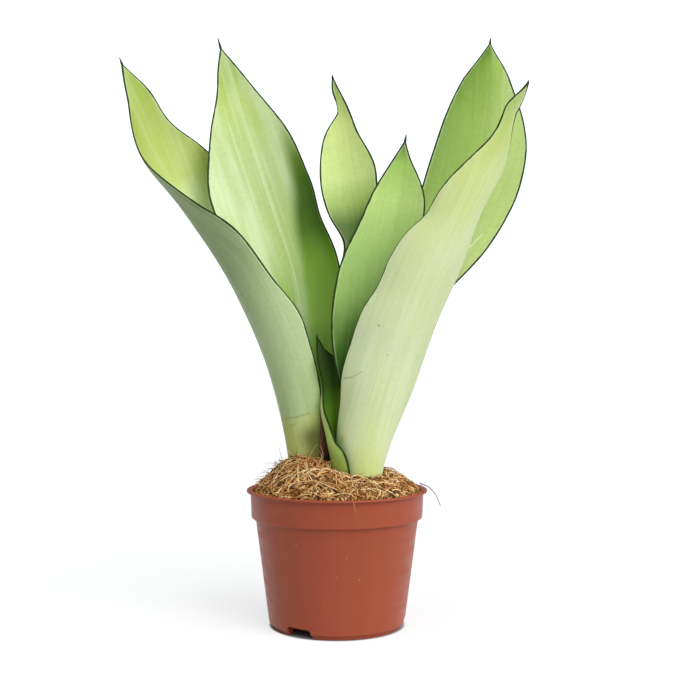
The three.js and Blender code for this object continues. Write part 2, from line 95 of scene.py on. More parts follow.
def along(values: Sequence[float], t: float) -> float:
    """Reads a Catmull-Rom curve through evenly spaced values.

    Args:
        values: The values that the curve passes through.
        t: The place along the curve, from 0 to 1.

    Returns:
        The value at t.
    """
    last = len(values) - 1
    x = min(1.0, max(0.0, t)) * last
    i = min(int(x), last - 1)
    f = x - i
    a = values[i - 1] if i > 0 else 2 * values[0] - values[1]
    b, c = values[i], values[i + 1]
    d = values[i + 2] if i + 2 <= last else 2 * values[last] - values[last - 1]
    return b + 0.5 * f * (c - a + f * (2 * a - 5 * b + 4 * c - d + f * (3 * (b - c) + d - a)))


class Graph:
    """The node tree of a material or world, with a short way to add each kind of node.

    A number, vector or colour is given as a value or as the socket that feeds it.
    """

    GIVES_A_NUMBER = ("DOT_PRODUCT", "LENGTH", "DISTANCE")

    def __init__(self, owner: bpy.types.ID, shader: str, output: str) -> None:
        """Empties a node tree and gives it one shader and its output.

        Args:
            owner: The material or world that has the tree.
            shader: The shader's kind.
            output: The output's kind.
        """
        owner.use_nodes = True
        self.tree = owner.node_tree
        self.tree.nodes.clear()
        self.shader = self.add(shader)
        self.add(output, {"Surface": self.shader.outputs[0]})

    def add(self, kind: str, inputs: dict | None = None, **settings: Any) -> bpy.types.Node:
        """Adds a node.

        Args:
            kind: The node's type name, without the prefix that all of them have.
            inputs: Each input's name or index, and what it gets.
            **settings: Attributes of the node.

        Returns:
            The new node.
        """
        node = self.tree.nodes.new("ShaderNode" + kind)
        for name, value in settings.items():
            setattr(node, name, value)
        self.feed(node, inputs or {})
        return node

    def feed(self, node: bpy.types.Node, inputs: dict) -> None:
        """Sets or links a node's inputs.

        Args:
            node: The node.
            inputs: Each input's name or index, and what it gets.
        """
        for key, value in inputs.items():
            if isinstance(value, Socket):
                self.tree.links.new(value, node.inputs[key])
            else:
                node.inputs[key].default_value = value

    def where(self) -> Socket:
        """Reads the place on the piece, in metres."""
        return self.add("TexCoord").outputs["Object"]

    def stored(self, name: str, output: str = "Vector") -> Socket:
        """Reads an attribute that is stored on the mesh."""
        return self.add("Attribute", attribute_name=name).outputs[output]

    def split(self, vector: Socket) -> tuple[Socket, ...]:
        """Splits a vector into its three numbers."""
        return tuple(self.add("SeparateXYZ", {0: vector}).outputs)

    def number(self, operation: str, *values: Any) -> Socket:
        """Combines numbers."""
        return self.add("Math", dict(enumerate(values)), operation=operation).outputs[0]

    def vector(self, operation: str, *values: Any) -> Socket:
        """Combines vectors, into a vector or a number."""
        node = self.add("VectorMath", dict(enumerate(values)), operation=operation)
        return node.outputs["Value" if operation in self.GIVES_A_NUMBER else "Vector"]

    def noise(self, at: Socket, scale: float, detail: float, distortion: float = 0.0) -> Socket:
        """Reads fractal noise at a place."""
        inputs = {"Vector": at, "Scale": scale, "Detail": detail, "Distortion": distortion}
        return self.add("TexNoise", inputs).outputs[0]

    def ramp(self, value: Socket, stops: Stops) -> Socket:
        """Turns a number into a colour.

        Args:
            value: The number.
            stops: Pairs of a number from 0 to 1 and an sRGB colour.

        Returns:
            The colour.
        """
        node = self.add("ValToRGB", {"Fac": value})
        elements = node.color_ramp.elements
        while len(elements) < len(stops):
            elements.new(0.5)
        for element, (place, colour) in zip(elements, stops):
            element.position = place
            element.color = srgb(colour)
        return node.outputs["Color"]

    def mix(self, share: Any, a: Any, b: Any, blend: str = "MIX") -> Socket:
        """Mixes a share of colour b into colour a."""
        node = self.add("Mix", {0: share, 6: a, 7: b}, data_type="RGBA", blend_type=blend)
        return node.outputs[2]

    def between(self, value: Socket, ends: Pair, gives: Pair, ease: str = "SMOOTHSTEP") -> Socket:
        """Maps a number to another one and holds it at the ends.

        Args:
            value: The number.
            ends: The two numbers that it is mapped between.
            gives: What those two give.
            ease: How it runs between them, SMOOTHSTEP or LINEAR.

        Returns:
            The mapped number.
        """
        inputs = dict(zip(("From Min", "From Max", "To Min", "To Max"), (*ends, *gives)))
        return self.add("MapRange", {"Value": value, **inputs}, interpolation_type=ease).outputs[0]

    def bump(self, height: Socket, strength: float, depth: float, **under: Socket) -> Socket:
        """Turns a height into a normal, over the one given as Normal, if any."""
        inputs = {"Strength": strength, "Distance": depth, "Height": height, **under}
        return self.add("Bump", inputs).outputs["Normal"]


@dataclass(frozen=True)
class Finish(ABC):
    """A surface finish, as one material with a Principled shader."""

    name: str

    @abstractmethod
    def surface(self, graph: Graph) -> dict[str, Any]:
        """Adds the finish's nodes to the graph.

        Args:
            graph: The material's graph.

        Returns:
            What the Principled shader's inputs get.
        """

    def build(self) -> bpy.types.Material:
        """Builds the finish's material."""
        material = bpy.data.materials.new(self.name)
        graph = Graph(material, "BsdfPrincipled", "OutputMaterial")
        graph.feed(graph.shader, self.surface(graph))
        return material


def link(name: str, data: bpy.types.ID) -> bpy.types.Object:
    """Puts something into the scene.

    Args:
        name: The object's name.
        data: A mesh, curve, lamp or camera.

    Returns:
        The object, at the origin.
    """
    made = bpy.data.objects.new(name, data)
    bpy.context.scene.collection.objects.link(made)
    return made


def new_piece(name: str, bm: bmesh.types.BMesh) -> bpy.types.Object:
    """Turns a bmesh in millimetres into a smooth-shaded object in metres.

    Args:
        name: The object's name.
        bm: The mesh, which is freed.

    Returns:
        The object, at the origin.
    """
    bmesh.ops.scale(bm, vec=(MM, MM, MM), verts=bm.verts)
    mesh = bpy.data.meshes.new(name)
    bm.to_mesh(mesh)
    bm.free()
    mesh.shade_smooth()
    return link(name, mesh)


def evaluated(source: bpy.types.Object) -> bpy.types.Mesh:
    """Copies the mesh that an object's curve or modifiers give."""
    sight = bpy.context.evaluated_depsgraph_get()
    return bpy.data.meshes.new_from_object(source.evaluated_get(sight))


def turn_round(bm: bmesh.types.BMesh, outline: Iterable[Sequence[float]], steps: int) -> None:
    """Spins an outline once round the Z axis.

    Args:
        bm: The mesh that gets it.
        outline: Radius and height of each point, from the axis back to the axis.
        steps: Segments of the full turn.
    """
    verts = [bm.verts.new((r, 0, z)) for r, z in outline]
    edges = [bm.edges.new(pair) for pair in zip(verts, verts[1:])]
    about = {"cent": (0, 0, 0), "axis": (0, 0, 1), "angle": FULL_TURN}
    bmesh.ops.spin(bm, geom=verts + edges, steps=steps, use_merge=True, **about)
    bmesh.ops.remove_doubles(bm, verts=bm.verts, dist=WELD)


def cover(piece: bpy.types.Object, material: bpy.types.Material) -> None:
    """Gives a piece its only material."""
    piece.data.materials.clear()
    piece.data.materials.append(material)


def dress(piece: bpy.types.Object, material: bpy.types.Material, slot: str, *nodes: str) -> None:
    """Gives a piece its material, its place on the plant and the nodes that it stands for.

    Args:
        piece: The finished piece.
        material: Its material.
        slot: The record's material slot; not used.
        *nodes: The frame's nodes that the piece replaces.
    """
    cover(piece, material)
    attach(piece, BODY)
    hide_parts(*nodes)
    log.info("%s: %d faces", piece.name, len(piece.data.polygons))


@dataclass(frozen=True)
class PaintedShadeZone:
    """Painted shade on a leaf's upper face, in deeper greens with a soft boundary, for the side of
    the channel that turns away from the light.

    It lies where s is over start + slope * t, but never under least, and fades out
    between the two places along the leaf in top.
    """

    STRENGTH = 0.95

    colours: Stops
    start: float
    slope: float
    least: float
    soft: float
    top: Pair


@dataclass(frozen=True)
class Mark:
    """A scar, scratch, stain or patch of painted shade, from one place to another on a leaf.

    Places are millimetres across from the midrib and along from the leaf's foot.
    """

    colour: str
    start: Pair
    end: Pair
    width: float
    soft: float
    upper: bool
    strength: float


class Coat:
    """A leaf's colour as its layers go on, with the blade's attributes.

    s runs across the blade from -1 to 1 and t along it from 0 to 1, face is 1 on the
    upper face, lie is millimetres across and along, margin is those to the margin.
    """

    def __init__(self, graph: Graph, seed: float, lower: Stops, upper: Stops) -> None:
        """Lays the ground colours of the two faces.

        Args:
            graph: The material's graph.
            seed: Where the leaf's own noise starts.
            lower: The colours along the lower face.
            upper: The colours along the upper face.
        """
        self.graph = graph
        self.seed = seed
        self.s, self.t, self.face = graph.split(graph.stored("span"))
        self.lie = graph.stored("lie")
        self.margin = graph.split(self.lie)[2]
        self.colour = graph.ramp(self.t, lower)
        self.lay(self.face, graph.ramp(self.t, upper))

    def lay(self, share: Any, colour: Any, blend: str = "MIX") -> None:
        """Lays a share of a colour over the coat."""
        self.colour = self.graph.mix(share, self.colour, colour, blend)

    def grain(self, size: Pair, detail: float, distortion: float = 0.0) -> Socket:
        """Reads noise stretched over the blade.

        Args:
            size: The grain's width and length.
            detail: The noise's detail.
            distortion: The noise's distortion.

        Returns:
            The noise.
        """
        waves = (1 / size[0], 1 / size[1], 0.0)
        shift = (self.seed, self.seed * 1.7, self.seed)
        placed = self.graph.vector("MULTIPLY_ADD", self.lie, waves, shift)
        return self.graph.noise(placed, 1.0, detail, distortion)

    def shade(self, zone: PaintedShadeZone) -> None:
        """Lays a zone of painted shade over the coat.

        Args:
            zone: The zone of painted shade.
        """
        graph = self.graph
        sloped = graph.number("MULTIPLY_ADD", self.t, zone.slope, zone.start)
        over = graph.number("SUBTRACT", self.s, graph.number("MAXIMUM", sloped, zone.least))
        inside = graph.between(over, (-zone.soft, zone.soft), (0.0, zone.STRENGTH))
        upper = graph.number("MULTIPLY", graph.between(self.t, zone.top, (1.0, 0.0)), self.face)
        self.lay(graph.number("MULTIPLY", upper, inside), graph.ramp(self.t, zone.colours))

    def mark(self, mark: Mark) -> None:
        """Lays a mark over the coat, by the distance from its line.

        Args:
            mark: The mark.
        """
        graph = self.graph
        start = Vector((*mark.start, 0.0))
        run = Vector((*mark.end, 0.0)) - start
        off = graph.vector("SUBTRACT", graph.vector("MULTIPLY", self.lie, (1, 1, 0)), start)
        share = graph.vector("DOT_PRODUCT", off, run / run.length_squared)
        held = graph.add("Clamp", {"Value": share}).outputs[0]
        foot = graph.add("VectorMath", {0: run, "Scale": held}, operation="SCALE").outputs[0]
        half = mark.width / 2
        gap = graph.vector("DISTANCE", off, foot)
        near = graph.between(gap, (half + mark.soft, half), (0.0, mark.strength))
        sense = (1.0, 0.0) if mark.upper else (-1.0, 1.0)
        here = graph.number("MULTIPLY_ADD", self.face, *sense)
        self.lay(graph.number("MULTIPLY", near, here), srgb(mark.colour))


@dataclass(frozen=True)
class LeafFinish(Finish):
    """Snake plant leaf: a smooth fleshy blade under a thin wax bloom.

    The wax makes it pale and satin, with silvery streaks along the blade that are partly wax
    and partly painted highlight. Faint mottling lies under it, and each margin is a thin dark
    green line.
    """

    # Width and length of each kind of grain
    PATCH = (14.0, 90.0)
    STREAK = (3.2, 170.0)
    STRIAE = (0.8, 70.0)
    MOTTLE = (3.6, 2.6)
    WEAR = (3.0, 9.0)
    SHEEN = (9.0, 40.0)
    # The pale rim fades in between these distances from the margin
    RIM_REACH = (2.6, 1.1)
    # The dark line is this wide where it is whole and where it is worn
    LINE_WIDTH = (1.25, 0.9)
    # The dry point starts at t = 1
    POINT_REACH = (0.995, 1.015)
    MARGIN = "172C0D"
    DRY_POINT = "34382A"
    MOTTLE_TINT = "A4C77C"

    upper: Stops
    lower: Stops
    # Colour of the wax, which in the streaks also stands for painted highlight
    bloom: str
    bloom_strength: float
    seed: float
    bands: float = 0.1
    # Painted light and shade across the upper face, from s = -1 to s = 1, multiplied into its
    # colour
    sides: Stops = ((0.0, "FFFFFF"), (1.0, "FFFFFF"))
    # Painted shade on the upper face, if any
    zone: PaintedShadeZone | None = None
    marks: tuple[Mark, ...] = ()
    rim: str = "D9E7B4"

    def surface(self, graph: Graph) -> dict[str, Any]:
        """Lays the leaf's layers, which go by the blade's own attributes.

        Args:
            graph: The material's graph.

        Returns:
            What the Principled shader's inputs get.
        """
        coat = Coat(graph, self.seed, self.lower, self.upper)
        # Wax in soft patches, and silvery streaks that are partly wax and partly painted highlight
        wax, most = srgb(self.bloom), self.bloom_strength
        coat.lay(graph.between(coat.grain(self.PATCH, 2.0), (0.38, 0.68), (0.0, most)), wax)
        coat.lay(graph.between(coat.grain(self.STREAK, 3.0), (0.52, 0.74), (0.0, 0.6 * most)), wax)
        # Growth striae, drawn a little coarser than real ones
        striae = coat.grain(self.STRIAE, 2.0)
        shade = graph.between(striae, (0.3, 0.7), (0.955, 1.035))
        grey = graph.add("CombineColor", {0: shade, 1: shade, 2: shade}).outputs[0]
        coat.lay(1.0, grey, "MULTIPLY")
        # Mottling, a little wider than high
        mottle = coat.grain(self.MOTTLE, 5.0, 0.4)
        band = graph.between(mottle, (0.45, 0.68), (0.0, self.bands))
        coat.lay(band, srgb(self.MOTTLE_TINT), "MULTIPLY")
        # Painted light and shade on the two sides of the upper face, from s = -1 to s = 1
        across = graph.number("MULTIPLY_ADD", coat.s, 0.5, 0.5)
        coat.lay(coat.face, graph.ramp(across, self.sides), "MULTIPLY")
        if self.zone:
            coat.shade(self.zone)
        for mark in self.marks:
            coat.mark(mark)

        # Pale rim, the dark line on the very margin and the dry point
        coat.lay(graph.between(coat.margin, self.RIM_REACH, (0.0, 0.28)), srgb(self.rim))
        width = graph.between(coat.grain(self.WEAR, 2.0), (0.3, 0.7), self.LINE_WIDTH)
        past = graph.number("SUBTRACT", coat.margin, width)
        line = graph.between(past, (0.12, -0.12), (0.0, 0.95))
        coat.lay(line, srgb(self.MARGIN))
        coat.lay(graph.between(coat.t, self.POINT_REACH, (0.0, 0.9)), srgb(self.DRY_POINT))
        return {
            "Base Color": coat.colour,
            "Roughness": graph.between(coat.grain(self.SHEEN, 3.0), (0.3, 0.7), (0.4, 0.54)),
            "Normal": graph.bump(striae, 0.35, 0.00012),
            "IOR": 1.42,
            # The flesh lets some yellow-green light through
            "Subsurface Radius": (0.7, 1.0, 0.3),
            "Subsurface Scale": 0.0018,
            # The dry dark margin has hardly any wax and lets no light through
            "Specular IOR Level": graph.between(line, (0.0, 0.8), (0.15, 0.03)),
            "Subsurface Weight": graph.between(line, (0.0, 0.8), (0.15, 0.0)),
        }


@dataclass(frozen=True)
class DryScaleFinish(Finish):
    """Dry scale: a withered leaf sheath, papery, with raised parallel veins."""

    name: str = "dry_leaf_sheath"

    def surface(self, graph: Graph) -> dict[str, Any]:
        """Draws veins about 0.7 mm apart, with painted shade that darkens it towards the foot.

        Args:
            graph: The material's graph.

        Returns:
            What the Principled shader's inputs get.
        """
        veins_at = graph.vector("MULTIPLY", graph.stored("lie"), (1.4, 0.04, 0.0))
        vein = graph.noise(veins_at, 1.0, 3.0)
        tone = graph.ramp(vein, ((0.3, "3A2012"), (0.55, "6A3E24"), (0.75, "96633C")))
        t = graph.split(graph.stored("span"))[1]
        # Painted shade towards the foot, where the scale lies in the dark gap between the left
        # outer leaf and the young leaf
        foot_shade = graph.ramp(t, ((0.3, "5A4A3A"), (0.7, "FFFFFF")))
        return {
            "Base Color": graph.mix(1.0, tone, foot_shade, "MULTIPLY"),
            "Normal": graph.bump(vein, 0.7, 0.0002),
            "Roughness": 0.65,
        }


@dataclass(frozen=True)
class RhizomeFinish(Finish):
    """Rhizome skin: a fleshy orange-tan stem with rings of old scale scars."""

    name: str = "rhizome_skin"

    def surface(self, graph: Graph) -> dict[str, Any]:
        """Draws blotches about 5 mm across and scar rings about 3 mm apart.

        Args:
            graph: The material's graph.

        Returns:
            What the Principled shader's inputs get.
        """
        where = graph.where()
        blotch = graph.noise(where, 200.0, 4.0)
        waves = {"Vector": where, "Scale": 50.0, "Distortion": 2.0, "Detail": 2.0}
        rings = graph.add("TexWave", waves, bands_direction="Z").outputs["Fac"]
        return {
            "Base Color": graph.ramp(blotch, ((0.3, "A8662E"), (0.7, "D9A45E"))),
            "Normal": graph.bump(rings, 0.4, 0.0004),
            "Roughness": 0.7,
        }


@dataclass(frozen=True)
class MouldedPot(Finish):
    """Polypropylene, injection moulded in a terracotta brown and satin."""

    name: str = "moulded_polypropylene_terracotta"

    def surface(self, graph: Graph) -> dict[str, Any]:
        """Draws flow marks up the wall, dust, scuffs round it and the mould's texture.

        Args:
            graph: The material's graph.

        Returns:
            What the Principled shader's inputs get.
        """
        where = graph.where()
        flow = graph.noise(graph.vector("MULTIPLY", where, (90.0, 90.0, 12.0)), 1.0, 4.0)
        # Dust flecks about 1 mm wide and 8 mm apart
        cells = {"Vector": where, "Scale": 120.0, "Randomness": 1.0}
        dust = graph.add("TexVoronoi", cells).outputs["Distance"]
        speck = graph.between(dust, (0.07, 0.03), (0.0, 0.5), "LINEAR")
        tone = graph.ramp(flow, ((0.3, "964226"), (0.7, "9C462A")))
        scuff = graph.noise(graph.vector("MULTIPLY", where, (60.0, 60.0, 200.0)), 1.0, 5.0)
        # Texture about 0.6 mm across, over waves in the wall about 9 mm across
        wavy = graph.bump(graph.noise(where, 110.0, 1.0), 0.2, 0.0003)
        return {
            "Base Color": graph.mix(speck, tone, srgb("D8A48C")),
            "Roughness": graph.between(scuff, (0.3, 0.7), (0.34, 0.5), "LINEAR"),
            "Normal": graph.bump(graph.noise(where, 1600.0, 2.0), 0.25, 0.00004, Normal=wavy),
            "IOR": 1.49,
            "Specular IOR Level": 0.34,
        }


@dataclass(frozen=True)
class CoirFinish(Finish):
    """Coconut coir: chopped husk fibre and pith, dry and matte.

    Golden tan on top and dark brown in the gaps, as painted light and shade. A strand's
    own tone comes from its attribute, and slow noise varies it along the strand.
    """

    tones: Stops

    def surface(self, graph: Graph) -> dict[str, Any]:
        """Draws mottling 1.5 mm across, redder husk 12 mm and fibre grain 0.3 mm.

        Args:
            graph: The material's graph.

        Returns:
            What the Principled shader's inputs get.
        """
        where = graph.where()
        fleck = graph.number("MULTIPLY_ADD", graph.noise(where, 650.0, 3.0), 0.5, -0.25)
        tone = graph.ramp(graph.number("ADD", graph.stored("tone", "Fac"), fleck), self.tones)
        red = graph.between(graph.noise(where, 85.0, 2.0), (0.45, 0.65), (0.0, 0.3), "LINEAR")
        return {
            "Base Color": graph.mix(red, tone, srgb("E09A68"), "MULTIPLY"),
            "Normal": graph.bump(graph.noise(where, 3000.0, 2.0), 0.5, 0.0001),
            "Roughness": 0.75,
            "Specular IOR Level": 0.15,
        }


class Shoot(Enum):
    """Centres of the rings that the leaf bases clasp in."""

    LEFT = (-17.5, 6.0)
    RIGHT = (16.0, -9.0)
    YOUNG = (13.0, -10.5)


@dataclass(frozen=True)
class Clasp:
    """The foot of a leaf, rolled round its shoot."""

    shoot: Shoot
    ring: float
    facing: float
    wrap: float


@dataclass(frozen=True)
class Ripple:
    """The wave along a leaf's margins."""

    height: float
    count: float
    phase: float


@dataclass(frozen=True)
class Lobe:
    """A fuller or narrower place on one margin of a leaf.

    The margin is s = -1 or s = 1, the place and the spread are shares of the
    leaf's length, and the size is in millimetres.
    """

    margin: int
    place: float
    spread: float
    size: float


class Cell(NamedTuple):
    """One place of a blade: mid-surface point, normal, thickness and position across."""

    at: Vector
    up: Vector
    thick: float
    s: float
    across: float
    margin: float


@dataclass
class Blade:
    """One leaf, grown from stations of its midrib.

    Each station is a point of the midrib, the azimuth that the upper face looks to,
    the angle that the channel turns through and the half width when flattened out.
    """

    LEAF_FOOT = 48.0
    SOIL_LINE = 103.0
    MARGIN_THICKNESS = 0.8
    POINT_ROWS = 8
    CROWDING = 1.6  # columns crowd together towards the margin
    ROUNDING = 0.7  # millimetres before the margin where it rounds off
    OUT_OF_STEP = 0.37  # share of a wave between the ripples of the two margins
    NUDGE = 1e-4  # step along the leaf for its tangent
    LOOK, CHANNEL, HALF_WIDTH = 3, 4, 5  # places in a station

    node: str
    clasp: Clasp
    stations: tuple[tuple[float, ...], ...]
    finish: Finish
    thickness: float = 2.6
    curl: Pair = (0.0, 0.0)
    ripple: Ripple = Ripple(0.0, 1.0, 0.0)
    lobes: tuple[Lobe, ...] = ()
    point: float = 5.0
    rows: int = 150
    columns: int = 22
    slot: str = "leaf"
    _all: list[tuple[float, ...]] = field(default_factory=list, init=False)

    def __post_init__(self) -> None:
        """Puts the two stations of the clasping base in front of the others."""
        clasp = self.clasp
        back = polar(clasp.ring, math.radians(clasp.facing))
        x, y = (centre - reach for centre, reach in zip(clasp.shoot.value, back))
        half = clasp.ring * math.radians(clasp.wrap) / 2
        levels = (self.LEAF_FOOT, self.SOIL_LINE)
        self._all = [(x, y, z, clasp.facing, clasp.wrap, half) for z in levels]
        self._all += self.stations

    @property
    def soil(self) -> float:
        """Place along the leaf where it leaves the coir."""
        return 1 / (len(self._all) - 1)

    def read(self, k: int, t: float) -> float:
        """Reads number k of the stations at t."""
        return along([station[k] for station in self._all], t)

    def midrib(self, t: float) -> Vector:
        """Returns the point of the midrib at t."""
        return Vector([self.read(k, t) for k in range(3)])

    def frame_at(self, t: float) -> tuple[Vector, Vector, Vector, Vector]:
        """Finds the leaf's own axes at one place.

        Args:
            t: Place along the leaf.

        Returns:
            The midrib's point, its tangent, the upper face's normal and the side.
        """
        held = max(t, self.soil)
        origin = self.midrib(held)
        ahead = self.midrib(min(1, held + self.NUDGE))
        tangent = (ahead - self.midrib(held - self.NUDGE)).normalized()
        if t < self.soil:
            origin.z = self.LEAF_FOOT
            tangent = Vector((0, 0, 1))
        normal = Vector((*polar(1.0, math.radians(self.read(self.LOOK, held))), 0))
        normal = (normal - tangent * normal.dot(tangent)).normalized()
        return origin, tangent, normal, tangent.cross(normal)

    def row(self, t: float, beyond: float = 0.0) -> list[Cell]:
        """Works out one cross-section.

        Args:
            t: Place along the leaf.
            beyond: Millimetres past the end of the blade, along the dry point.

        Returns:
            The cells from s = -1 to s = 1.
        """
        origin, tangent, normal, side = self.frame_at(t)
        held = max(t, self.soil)
        half = max(self.read(self.HALF_WIDTH, held), 0.5)
        turn = math.radians(self.read(self.CHANNEL, held)) / 2
        taper = 1.0
        if beyond > 0:
            share = beyond / self.point
            half = max(half, 1.0) * max(0.15, (1 - share) ** 0.55)
            origin = origin + tangent * beyond + normal * (0.5 * share * share)
            taper = max(0.2, 1 - share)
        waved = smooth(held, 0.3, 0.55) * min(1.0, 4 * (1 - held))
        curled = smooth(held, 0.3, 0.5) * smooth(0.85 - held, 0, 0.15)
        body = min(1.0, 0.35 + 1.6 * (1 - held), 0.75 + 1.2 * (held - self.soil))
        cells: list[Cell] = []
        for way in (-1, 1):
            full = max(0.4, half + self._fullness(way, held))
            across = rise = before = 0.0
            for j in range(self.columns + 1):
                s = way * (1 - (1 - j / self.columns) ** self.CROWDING)
                if j:
                    middle = self._bend((s + before) / 2, turn, curled)
                    step = (s - before) * full
                    across += step * math.cos(middle)
                    rise += step * math.sin(middle)
                before = s
                phi = self._bend(s, turn, curled)
                up = normal * math.cos(phi) - side * math.sin(phi)
                at = origin + side * across + normal * rise + up * self._wave(s, held, waved)
                edge = full * (1 - abs(s))
                thick = self._thick(s, edge, body) * taper
                cell = Cell(at, up, thick, s, s * full, edge)
                if way < 0:
                    cells.insert(0, cell)
                elif j:
                    cells.append(cell)
        return cells

    def _fullness(self, way: int, t: float) -> float:
        """Adds up the lobes of one margin, which fade out at the tip.

        Args:
            way: The margin, -1 or 1.
            t: Place along the leaf.

        Returns:
            Millimetres that they add to the half width.
        """
        total = sum(
            lobe.size * math.exp(-(((t - lobe.place) / lobe.spread) ** 2) / 2)
            for lobe in self.lobes
            if lobe.margin == way
        )
        return total * min(1.0, 14 * (1 - t))

    def _bend(self, s: float, turn: float, curled: float) -> float:
        """Returns how far the blade has turned at s, with its margin's curl."""
        curl = math.radians(self.curl[1 if s > 0 else 0]) * curled
        return turn * s + math.copysign(curl, s) * smooth(abs(s), 0.55, 1)

    def _wave(self, s: float, t: float, waved: float) -> float:
        """Works out the ripple.

        Args:
            s: Place across, from -1 to 1.
            t: Place along the leaf.
            waved: Share of the ripple's height that it has there.

        Returns:
            How far it lifts the blade.
        """
        offset = self.ripple.phase + (self.OUT_OF_STEP if s > 0 else 0)
        swing = math.sin(FULL_TURN * (self.ripple.count * t + offset))
        return self.ripple.height * waved * abs(s) ** 3 * swing

    def _thick(self, s: float, edge: float, body: float) -> float:
        """Works out the thickness.

        Args:
            s: Place across, from -1 to 1.
            edge: Millimetres to the margin.
            body: Share of the full thickness at the midrib there.

        Returns:
            The thickness.
        """
        thick = self.MARGIN_THICKNESS
        thick += (self.thickness - thick) * (1 - s * s) ** 0.6 * body
        round_off = min(1.0, edge / self.ROUNDING + 0.02)
        return thick * mix(0.2, 1.0, math.sqrt(1 - (1 - round_off) ** 2))

    def build(self) -> None:
        """Builds and dresses the closed blade, with its place and span stored on it."""
        places = [(0.0, 0.0)]
        places += [(mix(self.soil, 1.0, i / self.rows), 0.0) for i in range(self.rows + 1)]
        steps = range(1, self.POINT_ROWS + 1)
        places += [(1.0, self.point * i / self.POINT_ROWS) for i in steps]
        table = [self.row(t, beyond) for t, beyond in places]
        run = [0.0]
        for near, far in zip(table, table[1:]):
            run.append(run[-1] + (far[self.columns].at - near[self.columns].at).length)

        bm = bmesh.new()
        lie = bm.verts.layers.float_vector.new("lie")
        span = bm.verts.layers.float_vector.new("span")
        wide = 2 * self.columns
        tall = len(places) - 1
        bmesh.ops.create_grid(bm, x_segments=wide, y_segments=tall, size=1)
        upper = list(bm.verts)
        copied = bmesh.ops.duplicate(bm, geom=bm.verts[:] + bm.edges[:] + bm.faces[:])["geom"]
        lower = [item for item in copied if isinstance(item, bmesh.types.BMVert)]
        turned = [item for item in copied if isinstance(item, bmesh.types.BMFace)]
        bmesh.ops.translate(bm, vec=(0, 0, -0.1), verts=lower)
        bmesh.ops.reverse_faces(bm, faces=turned)
        bmesh.ops.bridge_loops(bm, edges=[edge for edge in bm.edges if edge.is_boundary])
        for verts, face in ((upper, 1.0), (lower, 0.0)):
            for vert in verts:
                j = round((vert.co.x + 1) / 2 * wide)
                i = round((vert.co.y + 1) / 2 * tall)
                cell = table[i][j]
                t, beyond = places[i]
                vert[lie] = (cell.across, run[i], cell.margin)
                vert[span] = (cell.s, t + beyond / 100, face)
                vert.co = cell.at + cell.up * cell.thick * (face - 0.5)
        bmesh.ops.recalc_face_normals(bm, faces=bm.faces)
        dress(new_piece(self.node + "_blade", bm), self.finish.build(), self.slot, self.node)


